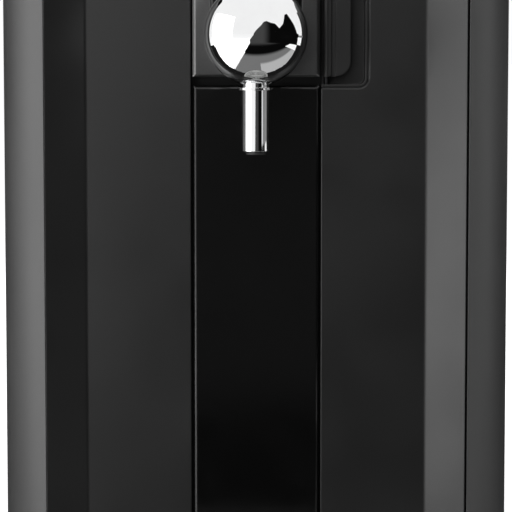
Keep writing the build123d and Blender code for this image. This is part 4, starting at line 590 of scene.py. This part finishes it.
world = bpy.data.worlds.new("studio_room")
bpy.context.scene.world = world
world.use_nodes = True
tree = world.node_tree
tree.nodes.clear()
rays = add(tree, "ShaderNodeLightPath")
seen = add(tree, "ShaderNodeMath", {0: rays.outputs["Is Camera Ray"], 1: rays.outputs["Is Glossy Ray"]},
           operation="MAXIMUM").outputs[0]
seen = add(tree, "ShaderNodeMath", {0: seen, 1: rays.outputs["Is Transmission Ray"]},
           operation="MAXIMUM").outputs[0]
level = add(tree, "ShaderNodeMapRange", {
    "Value": seen, "To Min": ROOM_LEVEL, "To Max": 1.0}).outputs["Result"]
room = add(tree, "ShaderNodeBackground", {"Color": WHITE, "Strength": level})
room_out = add(tree, "ShaderNodeOutputWorld", {"Surface": room.outputs["Background"]})
print("lamps", key.name, fill.name, rear.name)

# %% [markdown]
# A mirror ball shows the whole room, so the room is dressed with cards, and only mirrors
# see them.  Each is a plain surface of one tone, or of a tone that fades into another.  A
# standing one is an upright line spun round the dispenser, whose upper points are then
# moved to the height of a cut outline.

# %% Cards
CLOTH_STEPS = 90
SPUN_HEIGHT = 1.0


def stand_card(name, mesh, grey, fade):
    """Give a card its tone and keep it out of everything but mirrors.

    fade is (axis, from, to, other grey): the tone changes smoothly between two places."""
    material, tree, out = new_material(name + "_felt")
    tone = add(tree, "ShaderNodeEmission", {"Color": WHITE, "Strength": grey})
    if fade:
        axis, start, end, other = fade
        place = add(tree, "ShaderNodeTexCoord").outputs["Object"]
        along = add(tree, "ShaderNodeSeparateXYZ", {"Vector": place}).outputs[axis]
        level = add(tree, "ShaderNodeMapRange", {
            "Value": along, "From Min": start, "From Max": end, "To Min": grey, "To Max": other},
            interpolation_type="SMOOTHSTEP").outputs["Result"]
        tree.links.new(level, tone.inputs["Strength"])
    tree.links.new(tone.outputs["Emission"], out.inputs["Surface"])
    mesh.materials.append(material)
    piece = bpy.data.objects.new(name, mesh)
    bpy.context.scene.collection.objects.link(piece)
    piece.visible_camera = False
    piece.visible_diffuse = False
    piece.visible_shadow = False
    return piece


def height_at(outline, azimuth):
    """The height of an outline, given as (azimuth, height) pairs, at an azimuth between them."""
    for (before, low), (after, high) in zip(outline, outline[1:]):
        if azimuth <= after:
            return low + (high - low) * max(0.0, azimuth - before) / (after - before)
    return outline[-1][1]


def flag(name, outline, foot, distance, grey, fade=None):
    """A curved cloth round the dispenser from foot up to an outline of (azimuth, height) pairs."""
    mesh = bpy.data.meshes.new(name)
    cloth = bmesh.new()
    first, last = math.radians(outline[0][0]), math.radians(outline[-1][0])
    x, y = math.sin(first) * distance, -math.cos(first) * distance
    low = cloth.verts.new((x, y, foot))
    top = cloth.verts.new((x, y, foot + SPUN_HEIGHT))
    bmesh.ops.spin(cloth, geom=[low, top, cloth.edges.new((low, top))], cent=(0, 0, 0), axis=(0, 0, 1),
                   steps=CLOTH_STEPS, angle=last - first)
    for vert in cloth.verts:
        if vert.co.z > foot + SPUN_HEIGHT / 2:
            vert.co.z = height_at(outline, math.degrees(math.atan2(vert.co.x, -vert.co.y)))
    cloth.to_mesh(mesh)
    cloth.free()
    return stand_card(name, mesh, grey, fade)


def table_card(name, x0, x1, y0, y1, grey, fade=None, lift=2 * MM):
    """A flat card just above the table."""
    mesh = bpy.data.meshes.new(name)
    card = bmesh.new()
    bmesh.ops.create_grid(card, x_segments=1, y_segments=1, size=0.5)
    bmesh.ops.scale(card, vec=(x1 - x0, y1 - y0, 1.0), verts=card.verts)
    bmesh.ops.translate(card, vec=((x0 + x1) / 2, (y0 + y1) / 2, lift), verts=card.verts)
    card.to_mesh(mesh)
    card.free()
    return stand_card(name, mesh, grey, fade)


print("a cloth is spun in", CLOTH_STEPS, "steps")

# %% [markdown]
# The first cloth hangs in front, dark grey on the left and black on the right, and its cut
# upper edge is the dark shape in the ball.  One behind each side keeps the outline of dark
# plastic dark against white walls.  A light card and a dim one at the right put the narrow
# second highlight on the spout, and a small black screen beside the tap hides both of them
# from the ball.  The cards before the tray give the lower half of the ball its greys.  A
# bright one at the left front lifts the lower end of the long highlights, and black ones
# beside and behind keep the white table out of the foot of the sides.

# %% The room as mirrors see it
BLACK_FELT = 0.003
BLACK_TABLE = 0.01
DARK_GREY = 0.06
MIDDLE_GREY = 0.19
LIGHT_GREY = 0.50
FAR_GREY = 0.05
GLOW_GREY = 0.26
GLINT_WHITE = 0.72
BRIGHT_CARD = 2.4
CLOTH_AT = 1.3
GLINT_AT, GLINT_LOW, GLINT_HIGH = 1.28, 0.236, 0.297
SCREEN_AT, SCREEN_LOW, SCREEN_HIGH = 0.30, 0.3175, 0.337
FRONT_OUTLINE = [(-10.5, 0.12), (-3.6, 0.32), (-3.5, 0.36), (0, 0.47), (9, 0.68), (13, 0.80), (18, 0.84),
                 (26, 0.76), (33, 0.72), (40, 0.54), (48, 0.70), (56, 1.06), (62, 1.10), (66, 0.84),
                 (71, 0.60), (76, 0.30), (82, 0.0)]
cards = [
    flag("front_flag", FRONT_OUTLINE, 0.0, CLOTH_AT, DARK_GREY, fade=("X", 0.22, 0.56, BLACK_FELT)),
    flag("right_back_flag", [(98, 1.0), (178, 1.0)], 0.0, CLOTH_AT, BLACK_FELT),
    flag("left_back_flag", [(-178, 1.5), (-106, 1.5)], 0.0, CLOTH_AT, BLACK_FELT),
    flag("right_glint", [(46, GLINT_HIGH), (61, GLINT_HIGH)], GLINT_LOW, GLINT_AT, GLINT_WHITE),
    flag("right_glow", [(67, GLINT_HIGH), (172, GLINT_HIGH)], GLINT_LOW, GLINT_AT, GLOW_GREY),
    flag("ball_screen", [(22, SCREEN_HIGH), (62, SCREEN_HIGH)], SCREEN_LOW, SCREEN_AT, BLACK_FELT),
    table_card("near_card", -0.20, 0.80, -0.62, -0.20, MIDDLE_GREY, fade=("Y", -0.48, -0.60, BLACK_FELT)),
    table_card("light_card", 0.05, 0.80, -0.38, -0.20, LIGHT_GREY, fade=("Y", -0.33, -0.38, MIDDLE_GREY),
               lift=3 * MM),
    table_card("left_card", -1.2, -0.22, -0.9, -0.2, BRIGHT_CARD),
    table_card("far_card", -0.22, 1.2, -1.3, -0.62, BLACK_FELT, fade=("Y", -0.90, -1.25, FAR_GREY)),
    table_card("side_card_left", -1.3, -0.07, -0.20, 1.3, BLACK_TABLE),
    table_card("side_card_right", 0.07, 1.3, -0.20, 1.3, BLACK_TABLE),
    table_card("back_card", -0.14, 0.14, 0.26, 1.3, BLACK_TABLE),
]
print("cards", [card.name for card in cards])

# %% [markdown]
# The view transform stays plain, so that a colour written above comes out as written.

# %% Closing
bpy.context.scene.view_settings.view_transform = "Standard"
